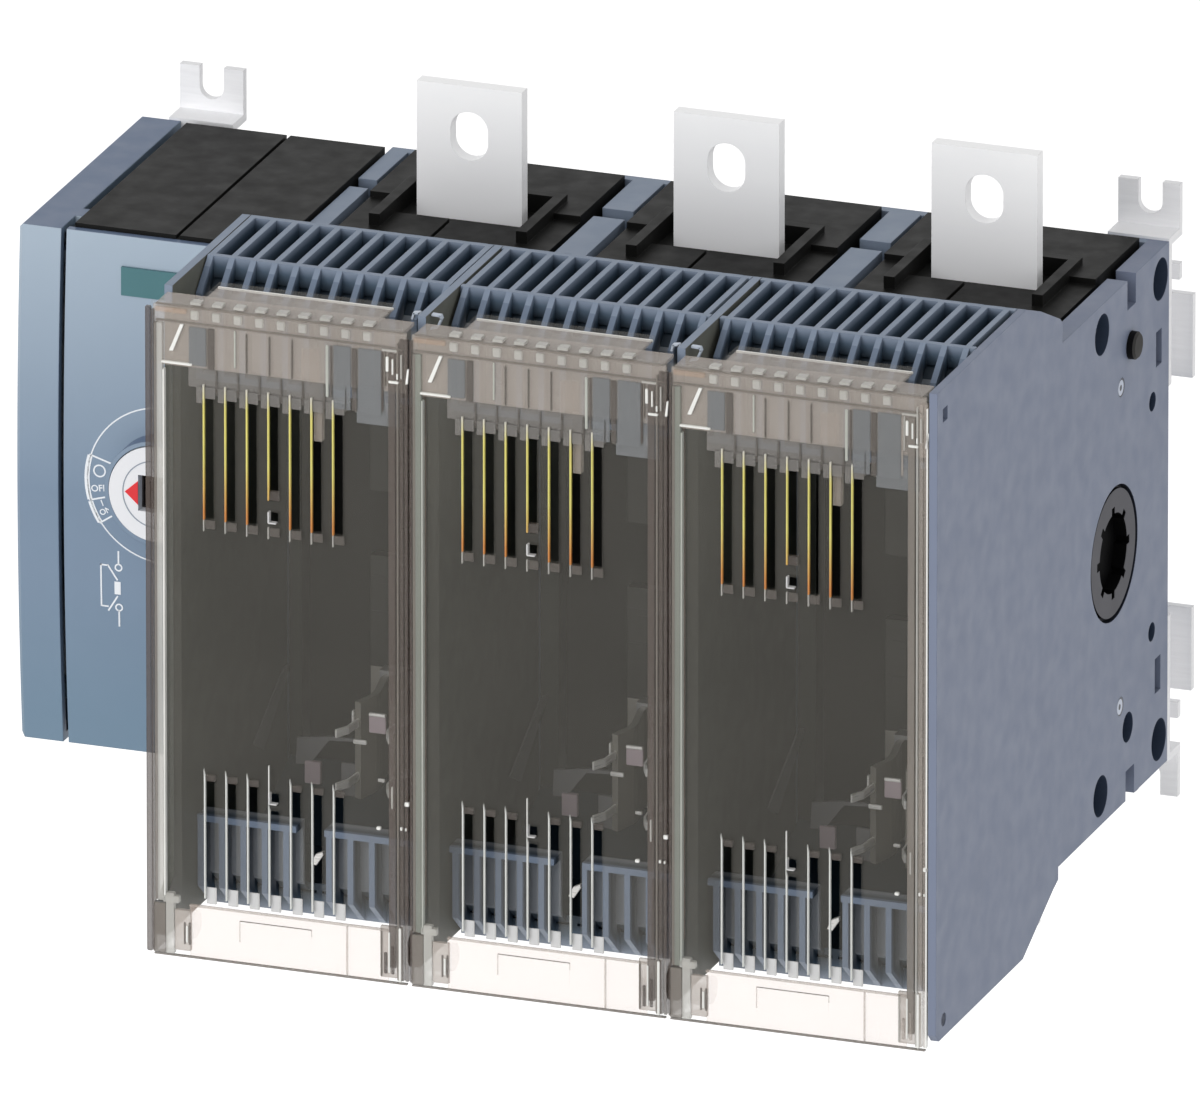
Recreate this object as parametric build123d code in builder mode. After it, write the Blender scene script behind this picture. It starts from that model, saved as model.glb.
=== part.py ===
"""Three-pole fuse switch disconnector with a rotary mechanism and hinged fuse covers.

Frame: X runs along the poles, Y runs back to the wall, Z is up. The mounting plane is Y = 0.
X = 0 is the boundary between the first and second pole, Z = 0 is the middle of the base.
Depths are counted forward from the back of the housing, so a depth d lies at Y = -(standoff + d).
"""

from build123d import *
from math import atan2, cos, degrees, pi, radians, sin, sqrt, tan
import os

os.makedirs("parts", exist_ok=True)

# Poles and base
pole_pitch = 96.0
half_height = 97.0
base_depth = 112.0
standoff = 14.0
back_wall = 4.0
left_wall = 7.0
partition = 11.6
right_wall = 7.5
left_margin = 1.2
right_margin = 1.0
notch_depth = 35.0
notch_width = 9.0
notch_deep = 11.0
fit_gap = 0.3
running_gap = 0.05

# Pole shells
shell_gap = 2.9
shell_wall = 3.0
shell_roof = 4.0
shell_back_rise = 1.5
shell_front_drop = 0.7
shell_step_depth = 50.0
seam_offset = -4.5
seam_groove = 1.4
seam_groove_deep = 1.5
collar_room = 5.8
collar_arm = 4.0
collar_back_reach = 17.0
collar_front_reach = 25.0
collar_rise = 3.8
pocket_reach = 9.0
pocket_floor_thick = 1.7

# Terminals
terminal_width = 39.4
terminal_thick = 5.6
terminal_depth = 53.0
terminal_reach = 47.0
terminal_inner_end = 58.0
terminal_hole_inset = 18.5
terminal_hole_width = 14.0
terminal_hole_length = 18.0

# Switching shaft, rotors and contacts
shaft_depth = 57.0
shaft_square = 14.0
shaft_journal_step = 0.1
shaft_stub = 1.0
shaft_pass_radius = 12.0
rotor_radius = 26.0
rotor_end_gap = 6.3
rotor_hub_radius = 14.0
blade_reach = 18.0
blade_inner_radius = 12.0
blade_thick = 3.0
knife_thick = 4.0
knife_width = 12.0
knife_clear = 3.0
jaw_knife_low = 12.0
jaw_knife_width = 14.0
blade_start = 15.0
blade_sweep = 85.0

# Fuse contacts
strip_half_width = 15.0
strip_thick = 4.0
jaw_low = 54.0
jaw_long = 36.0
jaw_root_half = 8.0
jaw_leg = 2.5
jaw_pinch_half = 2.9
jaw_reach = 36.0
jaw_bend_share = 0.25
jaw_pinch_share = 0.62
jaw_flare_share = 0.74
jaw_tip_share = 0.97
jaw_sink = 1.0
band_thick = 1.5
band_width = 6.0

# Dial and drive
dial_offset = 39.8
dial_z = 6.8
dial_travel = 25.0
dial_radius = 17.7
dial_rise = 13.0
dial_thick = 4.0
dial_proud = 0.5
dial_collar_wall = 1.6
socket_square = 12.4
socket_step = 0.5
socket_long = 30.0
sleeve_radius = 11.0
sleeve_tail = 2.0
sleeve_pass_gap = 2.0
pointer_tip = 11.6
pointer_half = 4.4
pointer_thick = 0.3
crank_radius = 24.0
crank_gap = 4.0
crank_thick = 6.0
crank_hub_wall = 4.0
crank_eye_wall = 4.0
pin_radius = 4.0
pin_long = 14.0
pin_end_gap = 2.0
slot_clear = 0.15
gear_module = 1.75
gear_teeth = 16
gear_width = 8.0
gear_backlash = 0.2
gear_addendum_share = 0.86
gear_dedendum_share = 1.25
pressure_angle = 20.0
rack_addendum = 1.5
rack_dedendum = 1.9
rack_back = 3.1
rack_teeth_below = 4
rack_teeth_above = 2
rail_thick = 2.5
rail_half_height = 50.0
slide_half_height = 30.0
slide_front_half_width = 9.0
slide_thick = 14.0
bearing_gap = 4.0
bearing_thick = 3.0
bearing_half_height = 88.0
spring_radius = 6.0
spring_wire = 1.8
spring_turns = 9

# Mechanism module
module_width = 95.8
module_lift = 2.0
side_shell_width = 16.0
side_shell_chamfer = 1.5
side_boss_radius = 4.0
side_boss_inset = 15.0
module_groove = 2.0
front_plate_gap = 1.4
front_rise = 8.0
front_bow = 4.0
front_thick = 3.0
latch_depth = 98.0
latch_long = 8.0
latch_high = 5.0
black_inset = 2.0
black_seam_offset = 38.5
black_wall = 3.0
black_rise = 1.5
black_front_gap = 0.2
rear_rebate = 5.0
label_drop = 11.0
label_high = 10.5
label_width = 44.0
label_shift = 5.0
label_seat = 0.4
label_thick = 1.5

# Fuse block
panel_thick = 3.0
panel_proud = 0.8
block_rise = 25.0
block_drop = 21.5
compartment_depth = 130.0
partition_setback = 14.0
hinge_setback = 8.0
hinge_lift = 6.5
hinge_boss = 5.3
stub_radius = 2.4
panel_corner = 3.0
shoulder_step = 7.6
shoulder_points = [(2.7, 9.8), (23.0, 19.4)]
shoulder_run = 38.0
skirt_points = [(2.7, 4.7), (7.8, 6.6)]
skirt_run = 39.6

# Right side panel and coupling
coupling_flange_radius = 23.2
coupling_journal_radius = 20.0
coupling_ring_gap = 1.5
coupling_recess = 3.0
coupling_sink = 0.3
coupling_floor = 0.7
star_radius = 14.5
star_notch_deep = 2.5
star_notches = 8
star_notch_width = 3.2
star_deep = 5.0
corner_hole_inset = 11.0
rear_hole_depth = 9.0
rear_hole_radius = 7.7
middle_hole_depth = 70.5
middle_hole_radius = 7.5
lower_hole_depth = 42.0
lower_hole_z = -70.0
lower_hole_radius = 5.5
guide_hole_depth = 17.0
guide_hole_z = 43.0
guide_hole_radius = 3.5
rear_window_depth = 10.5
rear_window_z = 61.0
rear_window_width = 6.0
rear_window_high = 13.0
front_window = 5.0
plug_depth = 40.0
plug_z = 72.0
plug_radius = 5.0
plug_clear = 0.1
plug_proud = 3.0
plug_chamfer = 0.8
plug_sink = 0.5
panel_screw_depth = 50.0
panel_screw_z = 59.5
panel_screw_radius = 3.4
panel_screw_long = 4.0
panel_screw_clear = 0.1

# Grilles
rib_pitch = 8.0
rib_thick = 2.2
rib_high = 7.0
grille_floor = 2.0
grille_setback = 22.0
grille_nose = 12.0
grille_nose_drop = 10.0
upper_lip_long = 42.0
lower_lip_long = 36.5
ridge_thick = 2.4
ridge_lift = 1.0
lower_gap_width = 10.4
lower_gap_shift = -2.0

# Covers
cover_shift = 2.4
cover_gap = 0.2
cover_top_drop = 1.5
cover_hang = 3.5
cover_plate = 2.4
cover_chamfer = 0.8
cover_wall = 2.2
cover_wall_inset = 4.1
cover_wall_right_inset = 2.2
cover_wall_top_inset = 2.5
cover_wall_low_inset = 4.0
lip_left_inset = 16.0
lip_right_inset = 14.4
lip_reach = 27.0
lip_thick = 2.0
tooth_size = 4.0
tooth_high = 1.2
tooth_setback = 1.0
tooth_sink = 1.0
tooth_shift = 3.0
slot_count = 7
slot_shift = -2.3
slot_pitch = 8.0
slot_width = 4.0
upper_slot_drop = 28.5
upper_slot_long = 50.0
lower_slot_lift = 21.0
lower_slot_long = 48.0
short_slot_cut = 10.0
window_small = 4.4
upper_window_inset = 1.5
lower_window_inset = 3.5
hinge_block = 7.7
hinge_web_half = 4.0
catch_inset = 8.6
catch_radius = 2.2
catch_web_half = 1.0
catch_drop = 10.5
catch_long = 12.0
cover_label_width = 26.8
cover_label_high = 7.9
cover_label_shift = -1.8
cover_label_lift = 8.2
cover_label_deep = 0.5

# Feet
foot_thick = 3.0
foot_width = 24.0
foot_rise = 17.5
foot_notch_rise = 10.0
foot_notch = 9.0
left_foot_inset = 23.6
right_foot_inset = 10.9
foot_joggle_rise = 1.0
foot_strip_long = 55.0
foot_screw_inset = 35.0
foot_screw_shift = 4.2
foot_screw_radius = 2.6
foot_screw_head = 4.5
foot_screw_head_thick = 2.5
ear_reach = 5.0
ear_width = 8.0
ear_drop = 24.0
ear_long = 31.0
tab_drop = 13.0
tab_long = 6.0

# Worked out
pole_centres = [-pole_pitch / 2, pole_pitch / 2, pole_pitch * 3 / 2]
left_face = -pole_pitch - left_margin
right_face = 2 * pole_pitch + right_margin
base_y = -standoff
wall_inner = right_face - right_wall
panel_inner = right_face - panel_thick
shell_half_width = (pole_pitch - partition) / 2 - shell_gap
shell_back_top = half_height + shell_back_rise
shell_front_top = half_height - shell_front_drop
collar_half_width = terminal_width / 2 + collar_room + collar_arm
collar_from = terminal_depth - collar_back_reach
collar_to = terminal_depth + collar_front_reach
collar_top = half_height + collar_rise
pocket_to = terminal_depth + pocket_reach
pocket_floor = shell_front_top - shell_roof + pocket_floor_thick
terminal_end = half_height + terminal_reach
terminal_hole_z = terminal_end - terminal_hole_inset
shaft_y = base_y - shaft_depth
shaft_journal_radius = shaft_square / 2 - shaft_journal_step
rotor_half_width = shell_half_width - shell_wall - rotor_end_gap
blade_outer_radius = rotor_radius + blade_reach
knife_tip_z = rotor_radius + knife_clear
jaw_knife_depth = shaft_depth + rotor_radius + knife_clear
jaw_knife_high = jaw_knife_low + jaw_knife_width
jaw_high = jaw_low + jaw_long

module_left = left_face - module_width
module_bottom = module_lift - half_height
front_plate_left = module_left + side_shell_width + module_groove
front_plate_right = left_face - front_plate_gap
front_edge_depth = base_depth + front_rise
fuse_panel_left = left_face - panel_proud
black_left = front_plate_left + black_inset
black_right = fuse_panel_left - fit_gap
black_seam = black_left + black_seam_offset
black_top = half_height + black_rise
black_bottom = module_bottom + black_rise
black_front_depth = front_edge_depth - front_thick - black_front_gap

dial_x = left_face - dial_offset
dial_face_depth = front_edge_depth + dial_rise
dial_back_depth = dial_face_depth - dial_thick
dial_square = socket_square + 2 * socket_step
dial_collar_radius = dial_radius + fit_gap + dial_collar_wall
label_x = dial_x + label_shift
label_z = half_height - label_drop - label_high / 2
label_back_depth = front_edge_depth + label_seat
gear_radius = gear_module * gear_teeth / 2
slide_step_depth = shaft_depth + gear_radius + rack_dedendum + rack_back
slide_front_depth = slide_step_depth + slide_thick
crank_back_depth = slide_front_depth + crank_gap
bearing_depth = crank_back_depth + crank_thick + bearing_gap
sleeve_back_depth = crank_back_depth - sleeve_tail
slide_travel = 2 * crank_radius * sin(radians(dial_travel / 2))
shaft_travel = degrees(slide_travel / gear_radius)
pin_rest_angle = radians(-dial_travel / 2)
pin_rest_x = dial_x + crank_radius * cos(pin_rest_angle)
pin_rest_z = dial_z + crank_radius * sin(pin_rest_angle)
gear_x = dial_x + crank_radius

block_top = half_height + block_rise
block_bottom = -half_height - block_drop
front_depth = base_depth + compartment_depth
partition_front = front_depth - partition_setback
hinge_depth = front_depth - hinge_setback
hinge_z = block_bottom + hinge_lift
coupling_face = right_face - coupling_sink
shaft_right_end = coupling_face - star_deep - coupling_floor
grille_front = partition_front - grille_setback
cover_edges = [centre - pole_pitch / 2 - cover_shift for centre in pole_centres]
wall_lines = [cover_edges[1], cover_edges[2]]
cover_top = block_top - cover_top_drop
cover_bottom = block_bottom - cover_hang
slot_field = slot_pitch * (slot_count - 1) + slot_width
slot_first = pole_pitch / 2 + slot_shift - slot_field / 2
upper_slot_high = cover_top - upper_slot_drop
lower_slot_low = cover_bottom + lower_slot_lift

foot_top = half_height + foot_rise
foot_notch_z = half_height + foot_notch_rise
foot_joggle_z = half_height + foot_joggle_rise
foot_screw_z = half_height - foot_screw_inset
left_foot_x = module_left + left_foot_inset
right_foot_x = right_face - right_foot_inset
left_screw_x = left_foot_x + foot_screw_shift
right_screw_x = right_foot_x - foot_screw_shift
print("dial travel deg", dial_travel, "slide travel mm", slide_travel, "shaft travel deg", shaft_travel)


def at(depth):
    """Y of a depth that is counted forward from the back of the housing."""
    return base_y - depth


def front_plane(depth):
    """Plane facing forward at a depth, with X to the right and Z up."""
    return Plane.XZ.offset(standoff + depth)


def side_plane(x):
    """Plane facing +X, with local x along Y and local y along Z."""
    return Plane.YZ.offset(x)


def span(x_low, x_high, y_low, y_high, mode=Mode.ADD):
    """Rectangle in a sketch, given by its bounds."""
    with Locations(((x_low + x_high) / 2, (y_low + y_high) / 2)):
        Rectangle(x_high - x_low, y_high - y_low, mode=mode)


def depth_span(depth_low, depth_high, z_low, z_high, mode=Mode.ADD):
    """Rectangle in a side sketch, between two depths and two heights."""
    span(at(depth_high), at(depth_low), z_low, z_high, mode)


def side_outline(points, mode=Mode.ADD):
    """Closed outline in a side sketch, from (depth, z) corners."""
    with BuildLine() as outline:
        Polyline([(at(depth), z) for depth, z in points], close=True)
    make_face(outline.edges(), mode=mode)


def disc(depth, z, radius):
    """Circle in a side sketch."""
    with Locations((at(depth), z)):
        Circle(radius)


def write(piece, name):
    """Labels a finished piece and writes it."""
    piece.part.label = name
    export_step(piece.part, f"parts/{name}.step")


# Base frame
base_upper_edge = [
    (0, half_height),
    (notch_depth, half_height),
    (notch_depth, half_height - notch_deep),
    (notch_depth + notch_width, half_height - notch_deep),
    (notch_depth + notch_width, half_height),
    (base_depth, half_height),
]
base_lower_edge = [(depth, -z) for depth, z in reversed(base_upper_edge)]

with BuildPart() as base_frame:
    with BuildSketch(front_plane(0)):
        span(left_face, wall_inner, -half_height, half_height)
    extrude(amount=back_wall)
    wall_spans = [(left_face, left_wall)]
    wall_spans += [(centre + pole_pitch / 2 - partition / 2, partition) for centre in pole_centres[:2]]
    for wall_x, wall_thick in wall_spans:
        with BuildSketch(side_plane(wall_x)):
            side_outline(base_upper_edge + base_lower_edge)
            disc(shaft_depth, 0, shaft_pass_radius)
        extrude(amount=wall_thick)
    with BuildSketch(side_plane(left_face)):
        disc(shaft_depth, 0, shaft_pass_radius)
    extrude(amount=wall_inner - left_face, mode=Mode.SUBTRACT)
    with BuildSketch(front_plane(0)):
        with Locations(*[(right_screw_x, side * foot_screw_z) for side in (1, -1)]):
            Circle(foot_screw_radius)
    extrude(amount=back_wall, mode=Mode.SUBTRACT)
write(base_frame, "base_frame")


# Pole shells, terminals and fuse contacts
def pole_cassette(centre):
    """Whole switching chamber of a pole, before it is split at its seam."""
    with BuildPart() as cassette:
        with BuildSketch(side_plane(centre - shell_half_width)):
            upper = [
                (back_wall, shell_back_top),
                (shell_step_depth, shell_back_top),
                (shell_step_depth, shell_front_top),
                (base_depth, shell_front_top),
            ]
            side_outline(upper + [(depth, -z) for depth, z in reversed(upper)])
        extrude(amount=2 * shell_half_width)
        for side in (1, -1):
            with BuildSketch(Plane.XY.offset(side * (shell_front_top - shell_roof / 2))):
                span(centre - collar_half_width, centre + collar_half_width, at(collar_to), at(collar_from))
            extrude(amount=side * (collar_top - shell_front_top + shell_roof / 2))
            inner_half = collar_half_width - collar_arm
            with BuildSketch(Plane.XY.offset(side * shell_front_top)):
                span(centre - inner_half, centre + inner_half, at(collar_to), at(collar_from + collar_arm))
            extrude(amount=side * (collar_top - shell_front_top), mode=Mode.SUBTRACT)
            with BuildSketch(Plane.XY.offset(side * pocket_floor)):
                span(centre - inner_half, centre + inner_half, at(pocket_to), at(collar_from + collar_arm))
            extrude(amount=side * (collar_top - pocket_floor), mode=Mode.SUBTRACT)
            seam_x = centre + seam_offset
            with BuildSketch(Plane.XY.offset(side * (shell_front_top - seam_groove_deep))):
                span(seam_x - seam_groove / 2, seam_x + seam_groove / 2, at(base_depth), at(pocket_to))
            extrude(amount=side * (collar_top - shell_front_top + seam_groove_deep), mode=Mode.SUBTRACT)
            with BuildSketch(Plane.XY.offset(side * (shell_back_top - seam_groove_deep))):
                span(seam_x - seam_groove / 2, seam_x + seam_groove / 2, at(collar_from), at(back_wall))
            extrude(amount=side * (collar_top - shell_back_top + seam_groove_deep), mode=Mode.SUBTRACT)
        with BuildSketch(side_plane(centre - shell_half_width + shell_wall)):
            inner_top = shell_front_top - shell_roof
            depth_span(back_wall + shell_wall, base_depth - shell_roof, -inner_top, inner_top)
        extrude(amount=2 * (shell_half_width - shell_wall), mode=Mode.SUBTRACT)
        with BuildSketch(side_plane(centre - shell_half_width)):
            disc(shaft_depth, 0, rotor_hub_radius + running_gap)
        extrude(amount=2 * shell_half_width, mode=Mode.SUBTRACT)
        with BuildSketch(Plane.XY.offset(-collar_top)):
            with Locations((centre, at(terminal_depth))):
                Rectangle(terminal_width + 2 * fit_gap, terminal_thick + 2 * fit_gap)
        extrude(amount=2 * collar_top, mode=Mode.SUBTRACT)
        with BuildSketch(front_plane(base_depth - 2 * shell_roof)):
            for side in (1, -1):
                with Locations((centre, side * (jaw_knife_low + jaw_knife_high) / 2)):
                    Rectangle(knife_thick + 2 * fit_gap, jaw_knife_width + 2 * fit_gap)
        extrude(amount=3 * shell_roof, mode=Mode.SUBTRACT)
    return cassette


def terminal_bar(centre, side):
    """Flat connection bar with an oblong hole, and the fixed knife on its inner end."""
    with BuildPart() as bar:
        with BuildSketch(front_plane(terminal_depth - terminal_thick / 2)):
            middle = side * (terminal_end + terminal_inner_end) / 2
            with Locations((centre, middle)):
                Rectangle(terminal_width, terminal_end - terminal_inner_end)
            with Locations((centre, side * terminal_hole_z)):
                SlotOverall(terminal_hole_length, terminal_hole_width, rotation=90, mode=Mode.SUBTRACT)
        extrude(amount=terminal_thick)
        with BuildSketch(side_plane(centre - knife_thick / 2)):
            low, high = sorted((side * knife_tip_z, side * (terminal_inner_end + knife_width)))
            depth_span(terminal_depth - knife_width / 2, terminal_depth + knife_width / 2, low, high)
        extrude(amount=knife_thick)
    return bar


def fuse_contact(centre, side):
    """Strip on the chamber's front, with a pair of jaws in front and a knife behind."""
    strip_front = base_depth + strip_thick
    with BuildPart() as contact:
        with BuildSketch(front_plane(base_depth)):
            low, high = sorted((side * jaw_knife_low, side * jaw_high))
            span(centre - strip_half_width, centre + strip_half_width, low, high)
        extrude(amount=strip_thick)
        with BuildSketch(side_plane(centre - knife_thick / 2)):
            low, high = sorted((side * jaw_knife_low, side * jaw_knife_high))
            depth_span(jaw_knife_depth, strip_front, low, high)
        extrude(amount=knife_thick)
        with BuildSketch(Plane.XY.offset(min(side * jaw_low, side * jaw_high))):
            for hand in (1, -1):
                root = jaw_root_half - jaw_leg
                outer_pinch = jaw_pinch_half + jaw_leg
                leg = [
                    (root, strip_front - jaw_sink),
                    (root, strip_front + jaw_reach * jaw_bend_share),
                    (jaw_pinch_half, strip_front + jaw_reach * jaw_pinch_share),
                    (jaw_pinch_half, strip_front + jaw_reach * jaw_flare_share),
                    (root, strip_front + jaw_reach),
                    (jaw_root_half, strip_front + jaw_reach * jaw_tip_share),
                    (outer_pinch, strip_front + jaw_reach * jaw_flare_share),
                    (outer_pinch, strip_front + jaw_reach * jaw_pinch_share),
                    (jaw_root_half, strip_front + jaw_reach * jaw_bend_share),
                    (jaw_root_half, strip_front - jaw_sink),
                ]
                with BuildLine():
                    Polyline([(centre + hand * x, at(depth)) for x, depth in leg], close=True)
                make_face()
        extrude(amount=jaw_long)
    return contact


for number, centre in enumerate(pole_centres, 1):
    cassette = pole_cassette(centre)
    for name, keep in (("left", Keep.BOTTOM), ("right", Keep.TOP)):
        with BuildPart() as half:
            add(cassette.part)
            split(bisect_by=side_plane(centre + seam_offset), keep=keep)
        write(half, f"pole_shell_{name}_{number}")
    for name, side in (("upper", 1), ("lower", -1)):
        write(terminal_bar(centre, side), f"{name}_terminal_{number}")
        write(fuse_contact(centre, side), f"{name}_fuse_contact_{number}")

with BuildPart() as jaw_bands:
    for centre in pole_centres:
        for side in (1, -1):
            with BuildSketch(front_plane(base_depth + strip_thick)):
                with Locations((centre, side * (jaw_low + jaw_high) / 2)):
                    Rectangle(2 * (jaw_root_half + band_thick), jaw_long + 2 * band_thick)
                    Rectangle(2 * jaw_root_half, jaw_long, mode=Mode.SUBTRACT)
            extrude(amount=band_width)
write(jaw_bands, "jaw_bands")


# Switching shaft, rotors and moving contacts
def sector(start, sweep, inner, outer):
    """Ring sector about the shaft in a side sketch, with angles up from the front."""
    def spot(radius, angle):
        return (shaft_y - radius * cos(radians(angle)), radius * sin(radians(angle)))

    end = start + sweep
    middle = start + sweep / 2
    with BuildLine() as outline:
        ThreePointArc(spot(outer, start), spot(outer, middle), spot(outer, end))
        Line(spot(outer, end), spot(inner, end))
        ThreePointArc(spot(inner, end), spot(inner, middle), spot(inner, start))
        Line(spot(inner, start), spot(outer, start))
    make_face(outline.edges())


blade_starts = (blade_start - shaft_travel, -blade_start - blade_sweep - shaft_travel)
blade_offsets = (knife_thick / 2 + fit_gap, -knife_thick / 2 - fit_gap - blade_thick)

for number, centre in enumerate(pole_centres, 1):
    with BuildPart() as rotor:
        with BuildSketch(side_plane(centre - shell_half_width)):
            disc(shaft_depth, 0, rotor_hub_radius)
        extrude(amount=2 * shell_half_width)
        with BuildSketch(side_plane(centre - rotor_half_width)):
            disc(shaft_depth, 0, rotor_radius)
        extrude(amount=2 * rotor_half_width)
        with BuildSketch(side_plane(centre - shell_half_width)):
            with Locations((shaft_y, 0)):
                Rectangle(shaft_square, shaft_square)
        extrude(amount=2 * shell_half_width, mode=Mode.SUBTRACT)
        for offset in blade_offsets:
            with BuildSketch(side_plane(centre + offset)):
                for start in blade_starts:
                    sector(start, blade_sweep, blade_inner_radius, rotor_radius + 1)
            extrude(amount=blade_thick, mode=Mode.SUBTRACT)
    write(rotor, f"rotor_{number}")

    with BuildPart() as moving_contacts:
        for offset in blade_offsets:
            with BuildSketch(side_plane(centre + offset)):
                for start in blade_starts:
                    sector(start, blade_sweep, blade_inner_radius, blade_outer_radius)
            extrude(amount=blade_thick)
    write(moving_contacts, f"moving_contacts_{number}")

with BuildPart() as switching_shaft:
    shaft_square_left = black_left + black_wall + fit_gap
    with BuildSketch(side_plane(shaft_square_left)):
        with Locations((shaft_y, 0)):
            Rectangle(shaft_square, shaft_square)
    extrude(amount=shaft_right_end - shaft_square_left)
    with BuildSketch(side_plane(black_left - shaft_stub)):
        disc(shaft_depth, 0, shaft_journal_radius)
    extrude(amount=shaft_square_left - black_left + shaft_stub)
write(switching_shaft, "switching_shaft")


def pinion_points():
    """Corners of the pinion, tooth by tooth, with a gap facing forward."""
    pressure = radians(pressure_angle)
    base_circle = gear_radius * cos(pressure)
    root = gear_radius - gear_module * gear_dedendum_share
    tip = gear_radius + gear_module * gear_addendum_share
    pitch_half = (pi * gear_module / 2 - gear_backlash) / 2 / gear_radius

    def half_angle(radius):
        slope = sqrt(max(radius**2 - base_circle**2, 0)) / base_circle
        return pitch_half + tan(pressure) - pressure - (slope - atan2(slope, 1))

    radii = [root, base_circle, (base_circle + gear_radius) / 2, gear_radius, (gear_radius + tip) / 2, tip]
    points = []
    for tooth in range(gear_teeth):
        middle = 2 * pi * (tooth + 0.5) / gear_teeth
        flank = [(radius, half_angle(radius)) for radius in radii]
        rising = [(radius, middle - half) for radius, half in flank]
        falling = [(radius, middle + half) for radius, half in reversed(flank)]
        points += [(shaft_y - r * cos(a), r * sin(a)) for r, a in rising + falling]
    return points


with BuildPart() as shaft_pinion:
    with BuildSketch(side_plane(gear_x - gear_width / 2)):
        with BuildLine():
            Polyline(pinion_points(), close=True)
        make_face()
        with Locations((shaft_y, 0)):
            Rectangle(shaft_square, shaft_square, mode=Mode.SUBTRACT)
    extrude(amount=gear_width)
write(shaft_pinion, "shaft_pinion")

with BuildPart() as star_coupling:
    flange_back = right_face - coupling_recess + fit_gap
    with BuildSketch(side_plane(wall_inner)):
        disc(shaft_depth, 0, coupling_journal_radius)
    extrude(amount=flange_back - wall_inner)
    with BuildSketch(side_plane(flange_back)):
        disc(shaft_depth, 0, coupling_flange_radius)
    extrude(amount=coupling_face - flange_back)
    with BuildSketch(side_plane(coupling_face - star_deep)):
        disc(shaft_depth, 0, star_radius)
        with Locations((shaft_y, 0)):
            with PolarLocations(star_radius, star_notches):
                Rectangle(2 * star_notch_deep, star_notch_width)
    extrude(amount=star_deep, mode=Mode.SUBTRACT)
    with BuildSketch(side_plane(wall_inner)):
        with Locations((shaft_y, 0)):
            Rectangle(shaft_square, shaft_square)
    extrude(amount=shaft_right_end - wall_inner, mode=Mode.SUBTRACT)
write(star_coupling, "star_coupling")


# Mechanism module
def bowed_outline(back_depth, low, high, inset):
    """Closed side outline whose front edge bows forward between two heights."""
    edge = front_edge_depth - inset
    with BuildLine() as outline:
        ThreePointArc((at(edge), low), (at(edge + front_bow), (low + high) / 2), (at(edge), high))
        Polyline([(at(edge), high), (at(back_depth), high), (at(back_depth), low), (at(edge), low)])
    make_face(outline.edges())


with BuildPart() as mechanism_side_shell:
    with BuildSketch(side_plane(module_left)):
        bowed_outline(0, module_bottom, half_height, 0)
    extrude(amount=side_shell_width)
    outer_rim = mechanism_side_shell.faces().sort_by(Axis.X)[0].edges()
    chamfer(outer_rim, side_shell_chamfer)
    with BuildSketch(side_plane(module_left + front_thick)):
        bowed_outline(front_thick, module_bottom + front_thick, half_height - front_thick, front_thick)
    extrude(amount=side_shell_width, mode=Mode.SUBTRACT)
    with BuildSketch(side_plane(module_left + front_thick)):
        for boss_depth in (side_boss_inset, front_edge_depth - side_boss_inset):
            for boss_z in (half_height - side_boss_inset, module_bottom + side_boss_inset):
                disc(boss_depth, boss_z, side_boss_radius)
    extrude(amount=black_left - module_left - front_thick)
    with BuildSketch(side_plane(module_left + side_shell_width - front_thick)):
        depth_span(latch_depth, latch_depth + latch_long, half_height - latch_high, half_height)
    extrude(amount=black_left - module_left - side_shell_width + front_thick - fit_gap)
write(mechanism_side_shell, "mechanism_side_shell")


def bowed_band(low, high, thick):
    """Closed side outline of a bowed plate of even thickness."""
    inner = front_edge_depth - thick
    middle = (low + high) / 2
    outer = front_edge_depth
    with BuildLine() as outline:
        ThreePointArc((at(outer), low), (at(outer + front_bow), middle), (at(outer), high))
        Line((at(outer), high), (at(inner), high))
        ThreePointArc((at(inner), high), (at(inner + front_bow), middle), (at(inner), low))
        Line((at(inner), low), (at(outer), low))
    make_face(outline.edges())


with BuildPart() as mechanism_front_plate:
    with BuildSketch(side_plane(front_plate_left)):
        bowed_band(module_bottom, half_height, front_thick)
    extrude(amount=front_plate_right - front_plate_left)
    with BuildSketch(front_plane(front_edge_depth)):
        with Locations((dial_x, dial_z)):
            Circle(dial_collar_radius)
    extrude(amount=dial_rise - dial_proud)
    with BuildSketch(front_plane(dial_back_depth - fit_gap)):
        with Locations((dial_x, dial_z)):
            Circle(dial_radius + fit_gap)
    extrude(amount=dial_thick + fit_gap, mode=Mode.SUBTRACT)
    with BuildSketch(front_plane(front_edge_depth - 2 * front_thick)):
        with Locations((dial_x, dial_z)):
            Circle(sleeve_radius + running_gap)
    extrude(amount=dial_rise + 2 * front_thick, mode=Mode.SUBTRACT)
    with BuildSketch(front_plane(label_back_depth)):
        with Locations((label_x, label_z)):
            Rectangle(label_width, label_high)
    extrude(amount=front_bow, mode=Mode.SUBTRACT)
write(mechanism_front_plate, "mechanism_front_plate")

with BuildPart() as label_plate:
    with BuildSketch(front_plane(label_back_depth)):
        with Locations((label_x, label_z)):
            Rectangle(label_width, label_high)
    extrude(amount=label_thick)
write(label_plate, "label_plate")


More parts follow.
